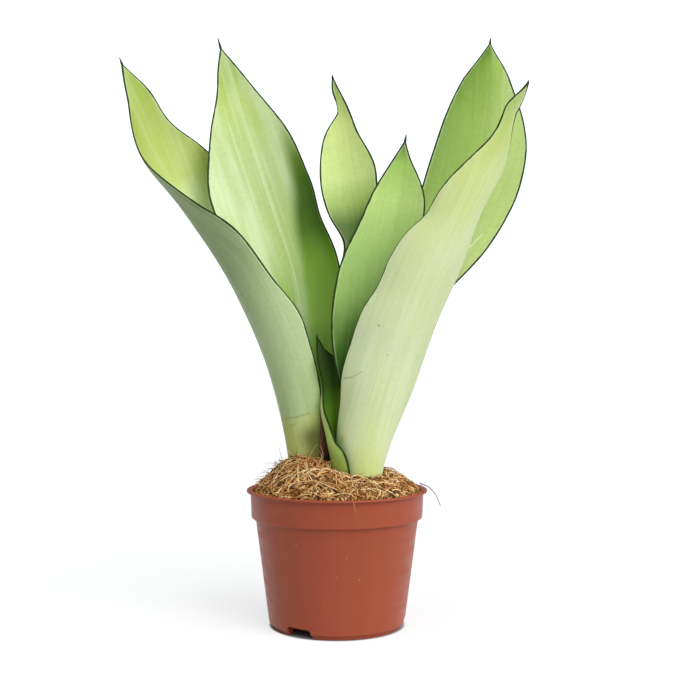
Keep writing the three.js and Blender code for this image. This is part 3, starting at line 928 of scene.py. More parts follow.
@dataclass
class NurseryPot:
    """The pot: lip, collar band, tapered wall, foot ring, notches and drain holes."""

    height: float = 90.0
    wall: float = 1.3
    lip_radius: float = 60.0
    lip_thickness: float = 1.5
    collar_top: float = 57.4
    collar_bottom: float = 56.8
    collar_foot: float = 72.0
    body_top: float = 54.0
    body_bottom: float = 45.2
    wall_lift: float = 2.6
    foot_outer: float = 43.0
    foot_inner: float = 39.5
    disc: float = 16.0
    recess: float = 3.0
    base: float = 1.6
    notches: tuple[float, ...] = (-123.0, -3.0, 117.0)
    notch_width: float = 18.0
    notch_depth: float = 14.0
    notch_centre: float = 44.0
    notch_top: float = 6.4
    notch_corner: float = 2.4
    drain_holes: int = 6
    drain_circle: float = 28.0
    drain_radius: float = 4.0
    drain_depth: float = 12.0
    steps: int = 160
    crease: float = 40.0

    def profile(self) -> list[Place]:
        """Lists the outline as radius, height and corner rounding, up the outside first."""
        under = self.height - self.lip_thickness
        shelf = self.collar_foot - 0.6
        wall = self.wall
        floor = self.recess + self.base
        return [
            (0.0, 0.0, 0.0),
            (self.disc, 0.0, 0.4),
            (self.disc + 1.6, self.recess, 0.4),
            (self.foot_inner - 1, self.recess, 0.4),
            (self.foot_inner, 0.0, 0.3),
            (self.foot_outer, 0.0, 0.5),
            (self.foot_outer, self.wall_lift, 0.3),
            (self.body_bottom - 0.2, self.wall_lift, 0.9),
            (self.body_bottom + 0.1, self.wall_lift + 1.6, 1.0),
            (self.body_top, self.collar_foot - 0.9, 0.5),
            (self.collar_bottom, self.collar_foot - 0.2, 0.9),
            (self.collar_top, under, 0.5),
            (self.lip_radius - 0.1, under + 0.1, 0.45),
            (self.lip_radius, self.height, 0.6),
            (self.collar_top - wall, self.height - 0.1, 0.5),
            (self.collar_bottom - wall, shelf + 2.2, 0.6),
            (self.body_top - wall, shelf, 0.6),
            (self.body_bottom - wall, floor, 0.8),
            (self.disc, floor, 0.4),
            (self.disc - 1.6, self.base, 0.4),
            (0.0, self.base, 0.0),
        ]

    @staticmethod
    def rounded(corners: Sequence[Place], cuts: int = 4) -> list[Vector]:
        """Rounds the corners of an outline.

        Args:
            corners: Radius, height and rounding of each corner.
            cuts: Segments of each rounding.

        Returns:
            The points of the rounded outline.
        """
        points: list[Vector] = []
        for k, (r, z, size) in enumerate(corners):
            here = Vector((r, z))
            if size == 0:
                points.append(here)
                continue
            before = Vector(corners[k - 1][:2]) - here
            after = Vector(corners[k + 1][:2]) - here
            # Two roundings never meet on a short side
            cut = min(size, 0.45 * before.length, 0.45 * after.length)
            start = here + before.normalized() * cut
            end = here + after.normalized() * cut
            for n in range(cuts + 1):
                f = n / cuts
                points.append(start.lerp(here, f).lerp(here.lerp(end, f), f))
        return points

    def _cutter(self) -> bpy.types.Object:
        """Builds the notches and drain holes as one set of cutting solids."""
        bm = bmesh.new()
        size = Matrix.Diagonal((self.notch_depth, self.notch_width, 2 * self.notch_top, 1.0))
        shift = Matrix.Translation((self.notch_centre, 0, 0))
        for azimuth in self.notches:
            turn = Matrix.Rotation(math.radians(azimuth), 4, "Z")
            made = bmesh.ops.create_cube(bm, size=1.0, matrix=turn @ shift @ size)
            # Its two upper edges that point outwards are rounded
            outwards = turn @ Vector((1, 0, 0))
            upper = {edge for vert in made["verts"] if vert.co.z > 0 for edge in vert.link_edges}
            corners = [
                edge
                for edge in upper
                if abs((edge.verts[1].co - edge.verts[0].co).normalized().dot(outwards)) > 0.9
            ]
            how = {"segments": 5, "profile": 0.5, "affect": "EDGES", "material": -1}
            bmesh.ops.bevel(bm, geom=corners, offset=self.notch_corner, **how)
        radius = self.drain_radius
        hole = {"radius1": radius, "radius2": radius, "depth": self.drain_depth, "segments": 28}
        for k in range(self.drain_holes):
            azimuth = math.radians(360 / self.drain_holes * (k + 0.5))
            place = Matrix.Translation((*polar(self.drain_circle, azimuth), self.recess))
            bmesh.ops.create_cone(bm, cap_ends=True, matrix=place, **hole)
        return new_piece("notch_cutter", bm)

    def build(self, finish: Finish) -> None:
        """Builds and dresses the pot, with its notches and holes cut.

        Args:
            finish: What it is moulded in.
        """
        bm = bmesh.new()
        turn_round(bm, self.rounded(self.profile()), self.steps)
        bmesh.ops.recalc_face_normals(bm, faces=bm.faces)
        pot = new_piece("nursery_pot", bm)
        cutter = self._cutter()
        cut = pot.modifiers.new("notches", "BOOLEAN")
        cut.operation = "DIFFERENCE"
        cut.solver = "EXACT"
        cut.object = cutter
        mesh = evaluated(pot)
        pot.modifiers.clear()
        pot.data = mesh
        bpy.data.objects.remove(cutter)
        mesh.shade_smooth()
        mesh.set_sharp_from_angle(angle=math.radians(self.crease))
        dress(pot, finish.build(), "pot_plastic", "pot")


@dataclass
class Strand:
    """One fibre or chip: its path in millimetres, radii and tone."""

    path: list[Vector]
    radii: list[float]
    tone: float

    @staticmethod
    def tapered(thick: float, steps: int, loss: float) -> list[float]:
        """Lists radii that shrink in steps, in all by a share of the first one."""
        return [thick * (1 - loss * k / steps) for k in range(steps + 1)]

    @staticmethod
    def spindle(thick: float, count: int, ends: float, inset: float) -> list[float]:
        """Lists radii that are greatest in the middle.

        Args:
            thick: The greatest radius.
            count: How many radii.
            ends: The share of it that the sine adds to.
            inset: How far along its half turn the sine starts.

        Returns:
            The radii.
        """
        turns = (mix(inset, 1 - inset, k / (count - 1)) for k in range(count))
        return [thick * mix(ends, 1.0, math.sin(math.pi * turn)) for turn in turns]

    @staticmethod
    def drawn_tone(rng: random.Random, mean: float, spread: float, least: float = 0.0) -> float:
        """Draws a tone from a bell curve, held between least and 1."""
        return min(1.0, max(least, rng.gauss(mean, spread)))


@dataclass
class CoirMound:
    """The coir that fills the pot: a lumpy bed, chopped pith and many fibres."""

    BED_RINGS = 56
    BED_STEPS = 180
    BED_FOOT = 74.0
    SCATTER = 55.4  # fibres start within this radius
    WALL_REACH = 55.6  # past this radius the fibres are over the pot's wall
    LIP_CLEAR = 90.4
    LIP_TOP = 90.2
    LIP_CRUMBS = 40  # one crumb in so many lies on the lip
    KEPT_FREE = ((Shoot.LEFT, 15.4), (Shoot.RIGHT, 15.4), (Shoot.YOUNG, 17.6))

    radius: float = 54.8
    edge: float = 88.6
    rise: float = 15.0
    shoulder: float = 3.0
    heap: tuple[float, float, float, float] = (-27.0, -3.0, 11.5, 15.5)
    seed: int = 11
    # The bed's dark browns are painted shade in the gaps between the fibres
    bed: CoirFinish = CoirFinish(
        "coconut_coir_bed", ((0.2, "1C1008"), (0.5, "3A2412"), (0.85, "6B4522"))
    )
    fibre: CoirFinish = CoirFinish(
        "coconut_coir_fibre",
        ((0.0, "1E0F05"), (0.2, "4E2E14"), (0.42, "905E2D"), (0.68, "CC9C5B"), (1.0, "F8DEAC")),
    )

    def height(self, x: float, y: float) -> float:
        """Works out the smooth mound, with its second heap round the left shoot.

        Args:
            x: Place to the right.
            y: Place to the back.

        Returns:
            The height there.
        """
        dome = 1 - min(1.0, math.hypot(x, y) / self.radius) ** self.shoulder
        hx, hy, rise, spread = self.heap
        off = ((x - hx) ** 2 + (y - hy) ** 2) / (2 * spread**2)
        return self.edge + dome * (self.rise + rise * math.exp(-off))

    def ground(self, x: float, y: float) -> float:
        """Works out the rough surface, with lumps 5 and 2 mm wide.

        Args:
            x: Place to the right.
            y: Place to the back.

        Returns:
            The height there.
        """
        fade = smooth(self.radius - math.hypot(x, y), 0.0, 6.0)
        lump = 1.5 * noise.noise(Vector((x, y, 3.0)) / 5.0)
        lump += 0.7 * noise.noise(Vector((x, y, 9.0)) / 2.0)
        return self.height(x, y) + mix(0.4, 1.0, fade) * lump

    def _bed(self) -> bpy.types.Object:
        """Builds the lumpy bed under the fibres, as one closed body."""
        bm = bmesh.new()
        tone = bm.verts.layers.float.new("tone")
        radii = [self.radius * k / self.BED_RINGS for k in range(self.BED_RINGS + 1)]
        outline = [(r, self.height(r, 0)) for r in radii]
        outline += [(self.radius, self.BED_FOOT), (0, self.BED_FOOT)]
        turn_round(bm, outline, self.BED_STEPS)
        for vert in bm.verts:
            x, y, z = vert.co
            if z < self.BED_FOOT + 1:
                vert[tone] = 0.3
                continue
            fine = noise.noise(Vector((x, y, 5.0)) / 1.3)
            vert.co.z = self.ground(x, y) - 1.0 + 0.5 * fine
            # Painted shade: the bed is darker where it dips and lighter where it rises
            vert[tone] = 0.5 + 0.4 * fine
        bmesh.ops.recalc_face_normals(bm, faces=bm.faces)
        return new_piece("coir_bed", bm)

    def _clear(self, *points: Vector) -> bool:
        """Tells whether points keep clear of the leaf bases and the pot's wall.

        Args:
            *points: The points.

        Returns:
            Whether all of them do.
        """
        for x, y, z in points:
            if math.hypot(x, y) > self.WALL_REACH:
                if z <= self.LIP_CLEAR:
                    return False
            elif any(math.dist((x, y), shoot.value) < reach for shoot, reach in self.KEPT_FREE):
                return False
        return True

    def _lying(
        self, rng: random.Random, length: float, thick: float, lift: float
    ) -> Strand | None:
        """Lays one fibre on the mound, or gives None where it finds no room.

        Args:
            rng: The seeded random numbers.
            length: Its length.
            thick: Its radius.
            lift: How high its middle may stand off the mound.

        Returns:
            The fibre.
        """
        radius = self.SCATTER * math.sqrt(rng.random())
        x, y = polar(radius, rng.uniform(0, FULL_TURN))
        heading = rng.uniform(0, FULL_TURN)
        turn = rng.gauss(0, 0.09)
        count = 6 if length < 14 else 11
        base = rng.uniform(-0.6, lift)
        hump = rng.uniform(0, 0.5 * lift) + 0.04 * length
        places = []
        for _ in range(count):
            places.append((x, y))
            heading += turn + rng.gauss(0, 0.08)
            x += length / (count - 1) * math.cos(heading)
            y += length / (count - 1) * math.sin(heading)
        # A stiff fibre bridges the dips between its ends
        low, high = self.ground(*places[0]), self.ground(*places[-1])
        path = []
        for k, (x, y) in enumerate(places):
            f = k / (count - 1)
            rest = max(mix(low, high, f), self.ground(x, y) - 0.3)
            path.append(Vector((x, y, rest + base + hump * math.sin(math.pi * f))))
        if not self._clear(*path):
            return None
        # Painted light and shade: a fibre that lies higher off the mound is drawn lighter, partly
        # at random
        tone = Strand.drawn_tone(rng, 0.5 + 0.14 * base, 0.26)
        return Strand(path, Strand.spindle(thick, count, 0.45, 0.12), tone)

    def _chip(self, rng: random.Random) -> Strand | None:
        """Makes one chopped piece of pith, short and thick.

        Args:
            rng: The seeded random numbers.

        Returns:
            The chip, or None where it finds no room.
        """
        size = rng.uniform(0.35, 0.8)
        strand = self._lying(rng, rng.uniform(1.2, 3.2), size, 0.9)
        if strand is None:
            return None
        ends = [strand.path[0], strand.path[3], strand.path[-1]]
        return Strand(ends, [size * 0.7, size, size * 0.6], Strand.drawn_tone(rng, 0.42, 0.2))

    def _spray(self, rng: random.Random) -> Strand | None:
        """Makes one fine fibre that stands up from the mound's edge or round a shoot.

        Args:
            rng: The seeded random numbers.

        Returns:
            The fibre, or None where it finds no room.
        """
        shoot = rng.choice((None, None, None, Shoot.LEFT, Shoot.RIGHT))
        # The coir is loosest on the left, where it was heaped up by hand
        azimuth = rng.gauss(math.pi, 0.7) if rng.random() < 0.35 else rng.uniform(0, FULL_TURN)
        centre = Vector((*shoot.value, 0)) if shoot else Vector((0, 0, 0))
        radius = rng.uniform(16.5, 21) if shoot else rng.uniform(34, 51)
        x, y = centre.x + radius * math.cos(azimuth), centre.y + radius * math.sin(azimuth)
        lean = Vector((*polar(1.0, azimuth), 0))
        side = Vector((-lean.y, lean.x, 0))
        length = rng.uniform(4, 8) if shoot else rng.uniform(4, 13)
        out = rng.uniform(-0.2, 0.9)
        sway = rng.uniform(-0.8, 0.8)
        up = rng.uniform(0.6, 1.15) if shoot else rng.uniform(0.25, 0.8)
        steps = 5
        path = []
        for f in (k / steps for k in range(steps + 1)):
            step = lean * (out * f) + side * (sway * f * f) + Vector((0, 0, up * f - 0.5 * f * f))
            path.append(Vector((x, y, self.height(x, y) - 0.6)) + step * length)
        if not self._clear(*path):
            return None
        return Strand(path, Strand.tapered(0.2, steps, 0.6), rng.choice((0.05, 0.15, 0.6, 0.85)))

    def _standing(self) -> list[Strand]:
        """Lists the loose fibres that stand up in front of the left shoot's foot."""
        rng = random.Random(self.seed + 1)
        steps = 8
        strands = []
        for _ in range(30):
            x, y = rng.uniform(-38, -8), rng.uniform(-24, -13)
            lean, turn = rng.uniform(-1.0, 1.0), rng.uniform(-2.0, 2.0)
            drift, step = rng.uniform(-0.2, 0.15), rng.uniform(6, 15) / steps
            place = Vector((x, y, self.ground(x, y) - 0.5))
            path = []
            for k in range(steps + 1):
                path.append(place.copy())
                angle = lean + turn * k / steps
                place += step * Vector((math.sin(angle), drift, math.cos(angle)))
            thick, tone = rng.uniform(0.15, 0.25), rng.choice((0.25, 0.5, 0.65, 0.85))
            strands.append(Strand(path, Strand.tapered(thick, steps, 0.5), tone))
        return strands

    @staticmethod
    def _curve(places: Sequence[Sequence[float]], steps: int) -> list[list[float]]:
        """Lists points on the smooth curve through places."""
        axes = list(zip(*places))
        return [[along(axis, n / steps) for axis in axes] for n in range(steps + 1)]

    def _placed(self) -> list[Strand]:
        """Lists the few long fibres that catch the eye, from places that they cross."""
        arcs = (
            ((-37, -34), (-22, -26), (-6, -26), (6, -34), (16, -44), 0.32, 0.95),
            ((-31, -40), (-24, -33), (-15, -27), (-7, -24), (1, -24), 0.28, 0.9),
            ((8, -38), (14, -36), (23, -35), (28, -33), (31, -30), 0.28, 0.85),
            ((14, -43), (20, -37), (27, -32), (35, -29), (43, -20), 0.27, 0.8),
            ((-44, -22), (-36, -25), (-28, -27), (-20, -31), (-16, -37), 0.26, 0.75),
        )
        steps = 16
        strands = []
        for *places, thick, tone in arcs:
            path = []
            for k, (x, y) in enumerate(self._curve(places, steps)):
                arch = 0.8 * math.sin(math.pi * k / steps)
                path.append(Vector((x, y, self.ground(x, y) + 1.3 + arch)))
            strands.append(Strand(path, Strand.spindle(thick, steps + 1, 0.5, 0.1), tone))
        return strands

    def _over_rim(self) -> list[Strand]:
        """Lists the two fibres that hang over the pot's lip."""
        front = (
            (10, -50, 94), (9.5, -56, 92.4), (10, -60.4, 90.6), (11, -61.3, 86), (12.4, -60.6, 80.5)
        )
        right = (
            (54, -14, 95.5), (59.5, -14, 93.2), (63, -15, 90), (65.6, -15, 86), (67.6, -16, 80.8)
        )
        thick, steps = 0.3, 12
        strands = []
        for places, tone in ((front, 0.55), (right, 0.06)):
            path = [Vector(point) for point in self._curve(places, steps)]
            strands.append(Strand(path, Strand.tapered(thick, steps, 0.45), tone))
        return strands

    def _crumbs(self, rng: random.Random, count: int) -> bpy.types.Object:
        """Builds crumbs of pith over the mound and a few on the pot's lip.

        Args:
            rng: The seeded random numbers.
            count: How many are tried.

        Returns:
            The crumbs as one piece, with each one's tone stored on it.
        """
        bm = bmesh.new()
        tone = bm.verts.layers.float.new("tone")
        for k in range(count):
            on_lip = k % self.LIP_CRUMBS == 0
            radius = rng.uniform(55.5, 59.6) if on_lip else 55.8 * math.sqrt(rng.random())
            x, y = polar(radius, rng.uniform(0, FULL_TURN))
            size = rng.uniform(0.35, 0.6) if on_lip else rng.uniform(0.5, 1.35)
            if on_lip:
                z = self.LIP_TOP + 0.6 * size
            else:
                z = self.ground(x, y) + rng.uniform(-0.5, 0.9)
                if not self._clear(Vector((x, y, z))):
                    continue
            stretch = (size, size * rng.uniform(0.5, 0.9), size * rng.uniform(0.4, 0.8), 1.0)
            turn = Matrix.Rotation(rng.uniform(0, 6.28), 4, "Z")
            turn = turn @ Matrix.Rotation(rng.uniform(-0.9, 0.9), 4, "X")
            matrix = Matrix.Translation((x, y, z)) @ turn @ Matrix.Diagonal(stretch)
            made = bmesh.ops.create_icosphere(bm, subdivisions=1, radius=1.0, matrix=matrix)
            shade = Strand.drawn_tone(rng, 0.48, 0.17, 0.12)
            for vert in made["verts"]:
                vert[tone] = shade
                vert.co += Vector([rng.uniform(-1, 1) for _ in range(3)]) * 0.18 * size
        return new_piece("coir_crumbs", bm)

    @staticmethod
    def _many(count: int, make: Callable[[], Strand | None]) -> list[Strand]:
        """Makes a number of strands, skipping those that find no room.

        Args:
            count: How many.
            make: Makes one, or gives None.

        Returns:
            The strands.
        """
        strands: list[Strand] = []
        while len(strands) < count:
            strand = make()
            if strand:
                strands.append(strand)
        return strands

    @staticmethod
    def strands_mesh(name: str, strands: Iterable[Strand]) -> bpy.types.Object:
        """Turns strands into one mesh of closed four-sided tapered tubes.

        Args:
            name: The piece's name.
            strands: The strands.

        Returns:
            The piece, with each strand's tone stored on it.
        """
        curve = bpy.data.curves.new(name, "CURVE")
        curve.dimensions = "3D"
        curve.bevel_depth = MM
        curve.bevel_resolution = 0
        tones: list[float] = []
        for strand in strands:
            spline = curve.splines.new("POLY")
            spline.points.add(len(strand.path) - 1)
            flat = [value for point in strand.path for value in (*(point * MM), 1.0)]
            spline.points.foreach_set("co", flat)
            spline.points.foreach_set("radius", strand.radii)
            tones += [strand.tone] * (4 * len(strand.path))
        holder = link(name + "_path", curve)
        mesh = evaluated(holder)
        bpy.data.objects.remove(holder)
        bpy.data.curves.remove(curve)
        if len(mesh.vertices) != len(tones):
            raise ValueError(f"{name}: {len(mesh.vertices)} vertices for {len(tones)} tones")
        tone = mesh.attributes.new("tone", "FLOAT", "POINT")
        tone.data.foreach_set("value", tones)
        bm = bmesh.new()
        bm.from_mesh(mesh)
        ends = [edge for edge in bm.edges if edge.is_boundary]
        bmesh.ops.holes_fill(bm, edges=ends, sides=4)
        bmesh.ops.recalc_face_normals(bm, faces=bm.faces)
        bm.to_mesh(mesh)
        bm.free()
        mesh.shade_smooth()
        return link(name, mesh)

    def build(self) -> None:
        """Builds and dresses the bed, the chips, the fibres and the crumbs."""
        dress(self._bed(), self.bed.build(), "coir", "coir_soil")
        rng = random.Random(self.seed)
        draw = rng.uniform
        fibre = self.fibre.build()
        layers = {
            "coir_fibres_deep": self._many(
                2800, lambda: self._lying(rng, draw(3, 9), draw(0.26, 0.5), 0.6)
            ),
            "coir_fibres_top": self._many(
                1700, lambda: self._lying(rng, draw(5, 13), draw(0.22, 0.4), 1.7)
            ),
            "coir_pith": self._many(6500, lambda: self._chip(rng)),
            "coir_fibres_long": self._many(
                110, lambda: self._lying(rng, draw(12, 28), draw(0.2, 0.34), 1.8)
            )
            + self._many(520, lambda: self._spray(rng))
            + self._placed()
            + self._over_rim()
            + self._standing(),
        }
        for name, strands in layers.items():
            dress(self.strands_mesh(name, strands), fibre, "coir", "coir_soil")
        dress(self._crumbs(rng, 2200), fibre, "coir", "coir_soil")


PALE_BACK = ((0.1, "B9C66A"), (0.3, "B4C58E"), (0.5, "A9BD8C"), (0.75, "9DB57C"), (1.0, "93AE62"))

LEAVES = (
    Blade(
        node="leaf_left_outer",
        clasp=Clasp(Shoot.LEFT, 13.4, 15, 240),
        stations=(
            (-43, 4, 165, 18, 195, 37),
            (-66, 3, 220, 14, 168, 37),
            (-96, 4, 269, -10, 130, 38),
            (-120, 0, 317, -36, 85, 24),
            (-142, -6, 371, -55, 40, 0.8),
        ),
        ripple=Ripple(1.2, 2.5, 0.1),
        lobes=(
            Lobe(-1, 0.19, 0.04, 3), Lobe(-1, 0.42, 0.03, 3), Lobe(-1, 0.53, 0.05, -4.5),
            Lobe(-1, 0.79, 0.05, 11), Lobe(-1, 0.94, 0.035, -2),
            Lobe(1, 0.76, 0.055, 8), Lobe(1, 0.87, 0.03, -3), Lobe(1, 0.96, 0.03, 3),
        ),
        finish=LeafFinish(
            "leaf_left_outer",
            # Painted light: the pale stops at 0.5 and 0.68 lift the channel where the left inner
            # leaf shades it
            upper=(
                (0.2, "5C8A3A"), (0.5, "D0E0AC"), (0.68, "DEEAB6"), (0.76, "B2BF6D"),
                (0.9, "9EAC4D"), (1.0, "98AC50"),
            ),
            lower=(
                (0.165, "9C9E48"), (0.2, "B4BA62"), (0.247, "B0BA6E"), (0.262, "A8BA82"),
                (0.4, "ADBF8C"), (0.55, "8FA274"), (1.0, "8B9E6E"),
            ),
            bloom="C6D4A8",
            bloom_strength=0.25,
            marks=(
                Mark("84864A", (-5, 88.8), (-15, 88.4), 0.3, 0.7, False, 0.4),
                Mark("84864A", (-15, 88.4), (-24, 89.2), 0.3, 0.7, False, 0.4),
                Mark("7E8C52", (-9, 84), (-13, 83.6), 0.3, 0.5, False, 0.35),
                # Painted shade: a wide, soft dark olive patch on the lower face near the foot,
                # beside the young leaf
                Mark("4E5018", (-24, 73), (-28, 52), 3, 13, False, 0.85),
                Mark("8E7A34", (-5, 60), (-12, 58), 3, 7, False, 0.4),
            ),
            seed=1.3,
        ),
    ),
    Blade(
        node="leaf_left_inner",
        clasp=Clasp(Shoot.LEFT, 10.0, -65, 200),
        stations=(
            (-22, 20, 160, -68, 130, 22),
            (-28, 24, 220, -70, 80, 37),
            (-46, 22, 280, -72, 60, 39),
            (-64, 19, 335, -76, 50, 26),
            (-79, 16, 387, -80, 40, 0.8),
        ),
        curl=(0.0, 60.0),
        ripple=Ripple(0.8, 2.0, 0.4),
        lobes=(
            Lobe(-1, 0.72, 0.05, 5), Lobe(-1, 0.90, 0.04, -3),
            Lobe(1, 0.62, 0.035, -4), Lobe(1, 0.88, 0.05, -1.5),
        ),
        point=7.5,
        finish=LeafFinish(
            "leaf_left_inner",
            upper=(
                (0.2, "3C6B1E"), (0.36, "5A8A3A"), (0.47, "94B85A"), (0.6, "A6BB73"),
                (0.75, "B1C385"), (0.88, "B0C26A"), (1.0, "86A038"),
            ),
            lower=PALE_BACK,
            bloom="D3DFB8",
            bloom_strength=0.6,
            # Painted shade: the deep green strip along the s = 1 margin, where the channel's side
            # turns away from the light
            zone=PaintedShadeZone(
                colours=(
                    (0.3, "5A8628"), (0.45, "94BC52"), (0.55, "749E30"), (0.61, "446A14"),
                    (0.65, "3A5E0E"), (0.7, "466E12"), (0.76, "749434"),
                ),
                start=-1.09,
                slope=2.34,
                least=0.14,
                soft=0.15,
                top=(0.73, 0.82),
            ),
            seed=2.9,
        ),
    ),
    Blade(
        node="leaf_right_front",
        clasp=Clasp(Shoot.RIGHT, 13.4, 118, 200),
        stations=(
            (37, -27, 160, 120, 160, 36),
            (55, -32, 213, 120, 155, 37),
            (78, -38, 262, 120, 135, 26),
            (100, -45, 308, 118, 90, 12),
            (119, -50, 349, 110, 50, 0.8),
        ),
        ripple=Ripple(1.4, 3.0, 0.0),
        lobes=(
            Lobe(1, 0.21, 0.04, 5), Lobe(1, 0.32, 0.04, 2.5), Lobe(1, 0.50, 0.03, -4),
            Lobe(1, 0.60, 0.022, 1), Lobe(1, 0.66, 0.022, -2), Lobe(1, 0.80, 0.03, -1.5),
            Lobe(1, 0.86, 0.03, -3), Lobe(1, 0.95, 0.025, 2.5),
            Lobe(-1, 0.68, 0.05, -3), Lobe(-1, 0.79, 0.04, 4), Lobe(-1, 0.91, 0.04, -4),
        ),
        point=2.0,
        slot="leaf_pale",
        finish=LeafFinish(
            "leaf_right_front",
            upper=((0.2, "6F9B4A"), (0.5, "A9C982"), (1.0, "A9C95F")),
            lower=(
                (0.165, "C6D482"), (0.22, "CEDA9C"), (0.4, "C8D2A4"), (0.6, "D0DAA0"),
                (0.78, "CEDA8C"), (0.9, "B2C652"), (1.0, "84A02C"),
            ),
            bloom="DCE4C6",
            bloom_strength=0.35,
            bands=0.06,
            marks=(
                Mark("75845A", (34.7, 108.4), (28.5, 111.2), 0.15, 0.5, False, 0.6),
                Mark("75845A", (28.5, 111.2), (22.8, 117.1), 0.15, 0.5, False, 0.45),
                Mark("B8A04A", (23.5, 70), (24, 73), 0.5, 1.6, False, 0.5),
                Mark("7E8A58", (21.5, 147.3), (22.0, 147.6), 0.7, 0.5, False, 0.6),
                Mark("7E8A58", (11, 132), (11.3, 132.2), 0.4, 0.4, False, 0.5),
            ),
            seed=4.1,
        ),
    ),
    Blade(
        node="leaf_right_rear",
        clasp=Clasp(Shoot.RIGHT, 10.0, -125, 180),
        stations=(
            (28, 17, 150, -118, 150, 15),
            (54, 36, 214, -112, 130, 21),
            (91, 49, 280, -106, 90, 36),
            (106, 57, 341, -98, 60, 29),
            (110, 60, 402, -90, 35, 0.8),
        ),
        ripple=Ripple(0.8, 2.0, 0.2),
        lobes=(
            Lobe(-1, 0.93, 0.075, 5), Lobe(1, 0.65, 0.03, -2),
            Lobe(1, 0.80, 0.04, 1.5), Lobe(1, 0.96, 0.03, 2.5),
        ),
        point=4.0,
        finish=LeafFinish(
            "leaf_right_rear",
            upper=(
                (0.2, "55852E"), (0.5, "E2EBA3"), (0.7, "D5E693"), (0.85, "CEE48B"),
                (0.96, "B0CC66"), (1.0, "6E9236"),
            ),
            lower=PALE_BACK,
            bloom="D2E2AE",
            bloom_strength=0.35,
            bands=0.13,
            # Painted shade on the s = -1 side of the upper face, fading out towards s = 1
            sides=(
                (0.0, "98AC80"), (0.3, "AEC096"), (0.55, "C6D2B6"),
                (0.75, "EAF0E2"), (1.0, "FCFEFA"),
            ),
            marks=(
                Mark("F2F6CC", (14.1, 225.9), (20.4, 242.5), 0.6, 0.5, True, 0.7),
                Mark("F2F6CC", (12.5, 222), (14.5, 223.5), 0.5, 0.4, True, 0.5),
            ),
            seed=5.7,
        ),
    ),
    Blade(
        node="leaf_middle_rear",
        clasp=Clasp(Shoot.RIGHT, 6.8, -75, 150),
        stations=(
            (14, 6, 150, -80, 140, 9),
            (17, 24, 205, -85, 120, 12),
            (14, 38, 262, -90, 80, 18),
            (6, 46, 318, -92, 60, 18),
            (-3, 48, 374, -92, 60, 0.8),
        ),
        thickness=2.4,
        ripple=Ripple(0.8, 2.0, 0.6),
        lobes=(
            Lobe(-1, 0.65, 0.03, -7), Lobe(-1, 0.77, 0.05, 2.5), Lobe(-1, 0.94, 0.028, -9),
            Lobe(1, 0.80, 0.03, 1.5), Lobe(1, 0.88, 0.03, -2.5),
        ),
        point=3.0,
        finish=LeafFinish(
            "leaf_middle_rear",
            # Painted shade: the deep greens up to t = 0.69 stand for the shade low in the channel,
            # between the other leaves
            upper=(
                (0.3, "2E560E"), (0.65, "24480A"), (0.69, "345C14"), (0.735, "9BB45F"),
                (0.79, "C6D589"), (0.9, "C6D382"), (0.95, "A8BA68"), (1.0, "76884E"),
            ),
            lower=PALE_BACK,
            bloom="C6D690",
            bloom_strength=0.2,
            seed=7.3,
        ),
    ),
    Blade(
        node="leaf_middle_front",
        clasp=Clasp(Shoot.RIGHT, 3.6, -85, 160),
        stations=(
            (16, -8, 145, -90, 110, 14),
            (21, -6, 190, -92, 75, 27),
            (29, -6, 235, -92, 55, 28),
            (38, -6, 279, -92, 45, 18),
            (45, -6, 320, -92, 35, 0.8),
        ),
        thickness=2.4,
        ripple=Ripple(0.5, 2.0, 0.3),
        lobes=(Lobe(-1, 0.76, 0.05, -2), Lobe(1, 0.87, 0.05, 4)),
        finish=LeafFinish(
            "leaf_middle_front",
            upper=(
                (0.3, "2A5204"), (0.42, "30600A"), (0.5, "527C24"), (0.6, "98BA66"),
                (0.7, "AACA78"), (0.84, "C6E08A"), (0.94, "A4C464"), (1.0, "5E7C30"),
            ),
            # Faint painted shade across the upper face, fading out towards s = 1
            sides=((0.0, "F0F4EC"), (0.5, "F6FAF2"), (0.62, "EEF4E6"), (1.0, "FFFFFF")),
            lower=PALE_BACK,
            bloom="B6CE88",
            bloom_strength=0.24,
            seed=8.9,
        ),
    ),
    Blade(
        node="leaf_young",
        clasp=Clasp(Shoot.YOUNG, 16.2, 15, 120),
        stations=(
            (-5.5, -13.5, 121, -4, 130, 17),
            (-8, -9, 139, -34, 150, 16),
            (-8, -6, 156, -45, 150, 15),
            (-9, -6, 173, -48, 120, 11),
            (-13, -9, 190, -48, 80, 0.8),
        ),
        thickness=1.8,
        lobes=(Lobe(-1, 0.36, 0.08, -6), Lobe(-1, 0.66, 0.1, -8.5), Lobe(1, 0.93, 0.05, -2.5)),
        point=3.0,
        rows=110,
        columns=18,
        finish=LeafFinish(
            "leaf_young",
            # Painted shade: the inside of the rolled young leaf is dark green, darkest towards the
            # tip
            upper=(
                (0.2, "3C5E0C"), (0.4, "78A027"), (0.55, "68951C"),
                (0.7, "2F5A04"), (0.85, "1A3A02"), (1.0, "143004"),
            ),
            lower=(
                (0.165, "98AA48"), (0.25, "A6BE62"), (0.4, "B0CC70"),
                (0.55, "BCD484"), (0.75, "9CBC64"), (1.0, "7A9A48"),
            ),
            bloom="A8C080",
            bloom_strength=0.08,
            rim="2E5410",
            seed=10.1,
        ),
    ),
)

DRY_SCALE = Blade(
    node="dry_scale",
    clasp=Clasp(Shoot.LEFT, 17.4, 128, 20),
    stations=(
        (-7.4, -8, 114, 128, 26, 4.2),
        (-9.0, -8, 126, 126, 40, 2.2),
        (-10.4, -8, 139, 118, 60, 0.8),
    ),
    finish=DryScaleFinish(),
    thickness=1.0,
    rows=40,
    columns=10,
    slot="dry_scale",
)

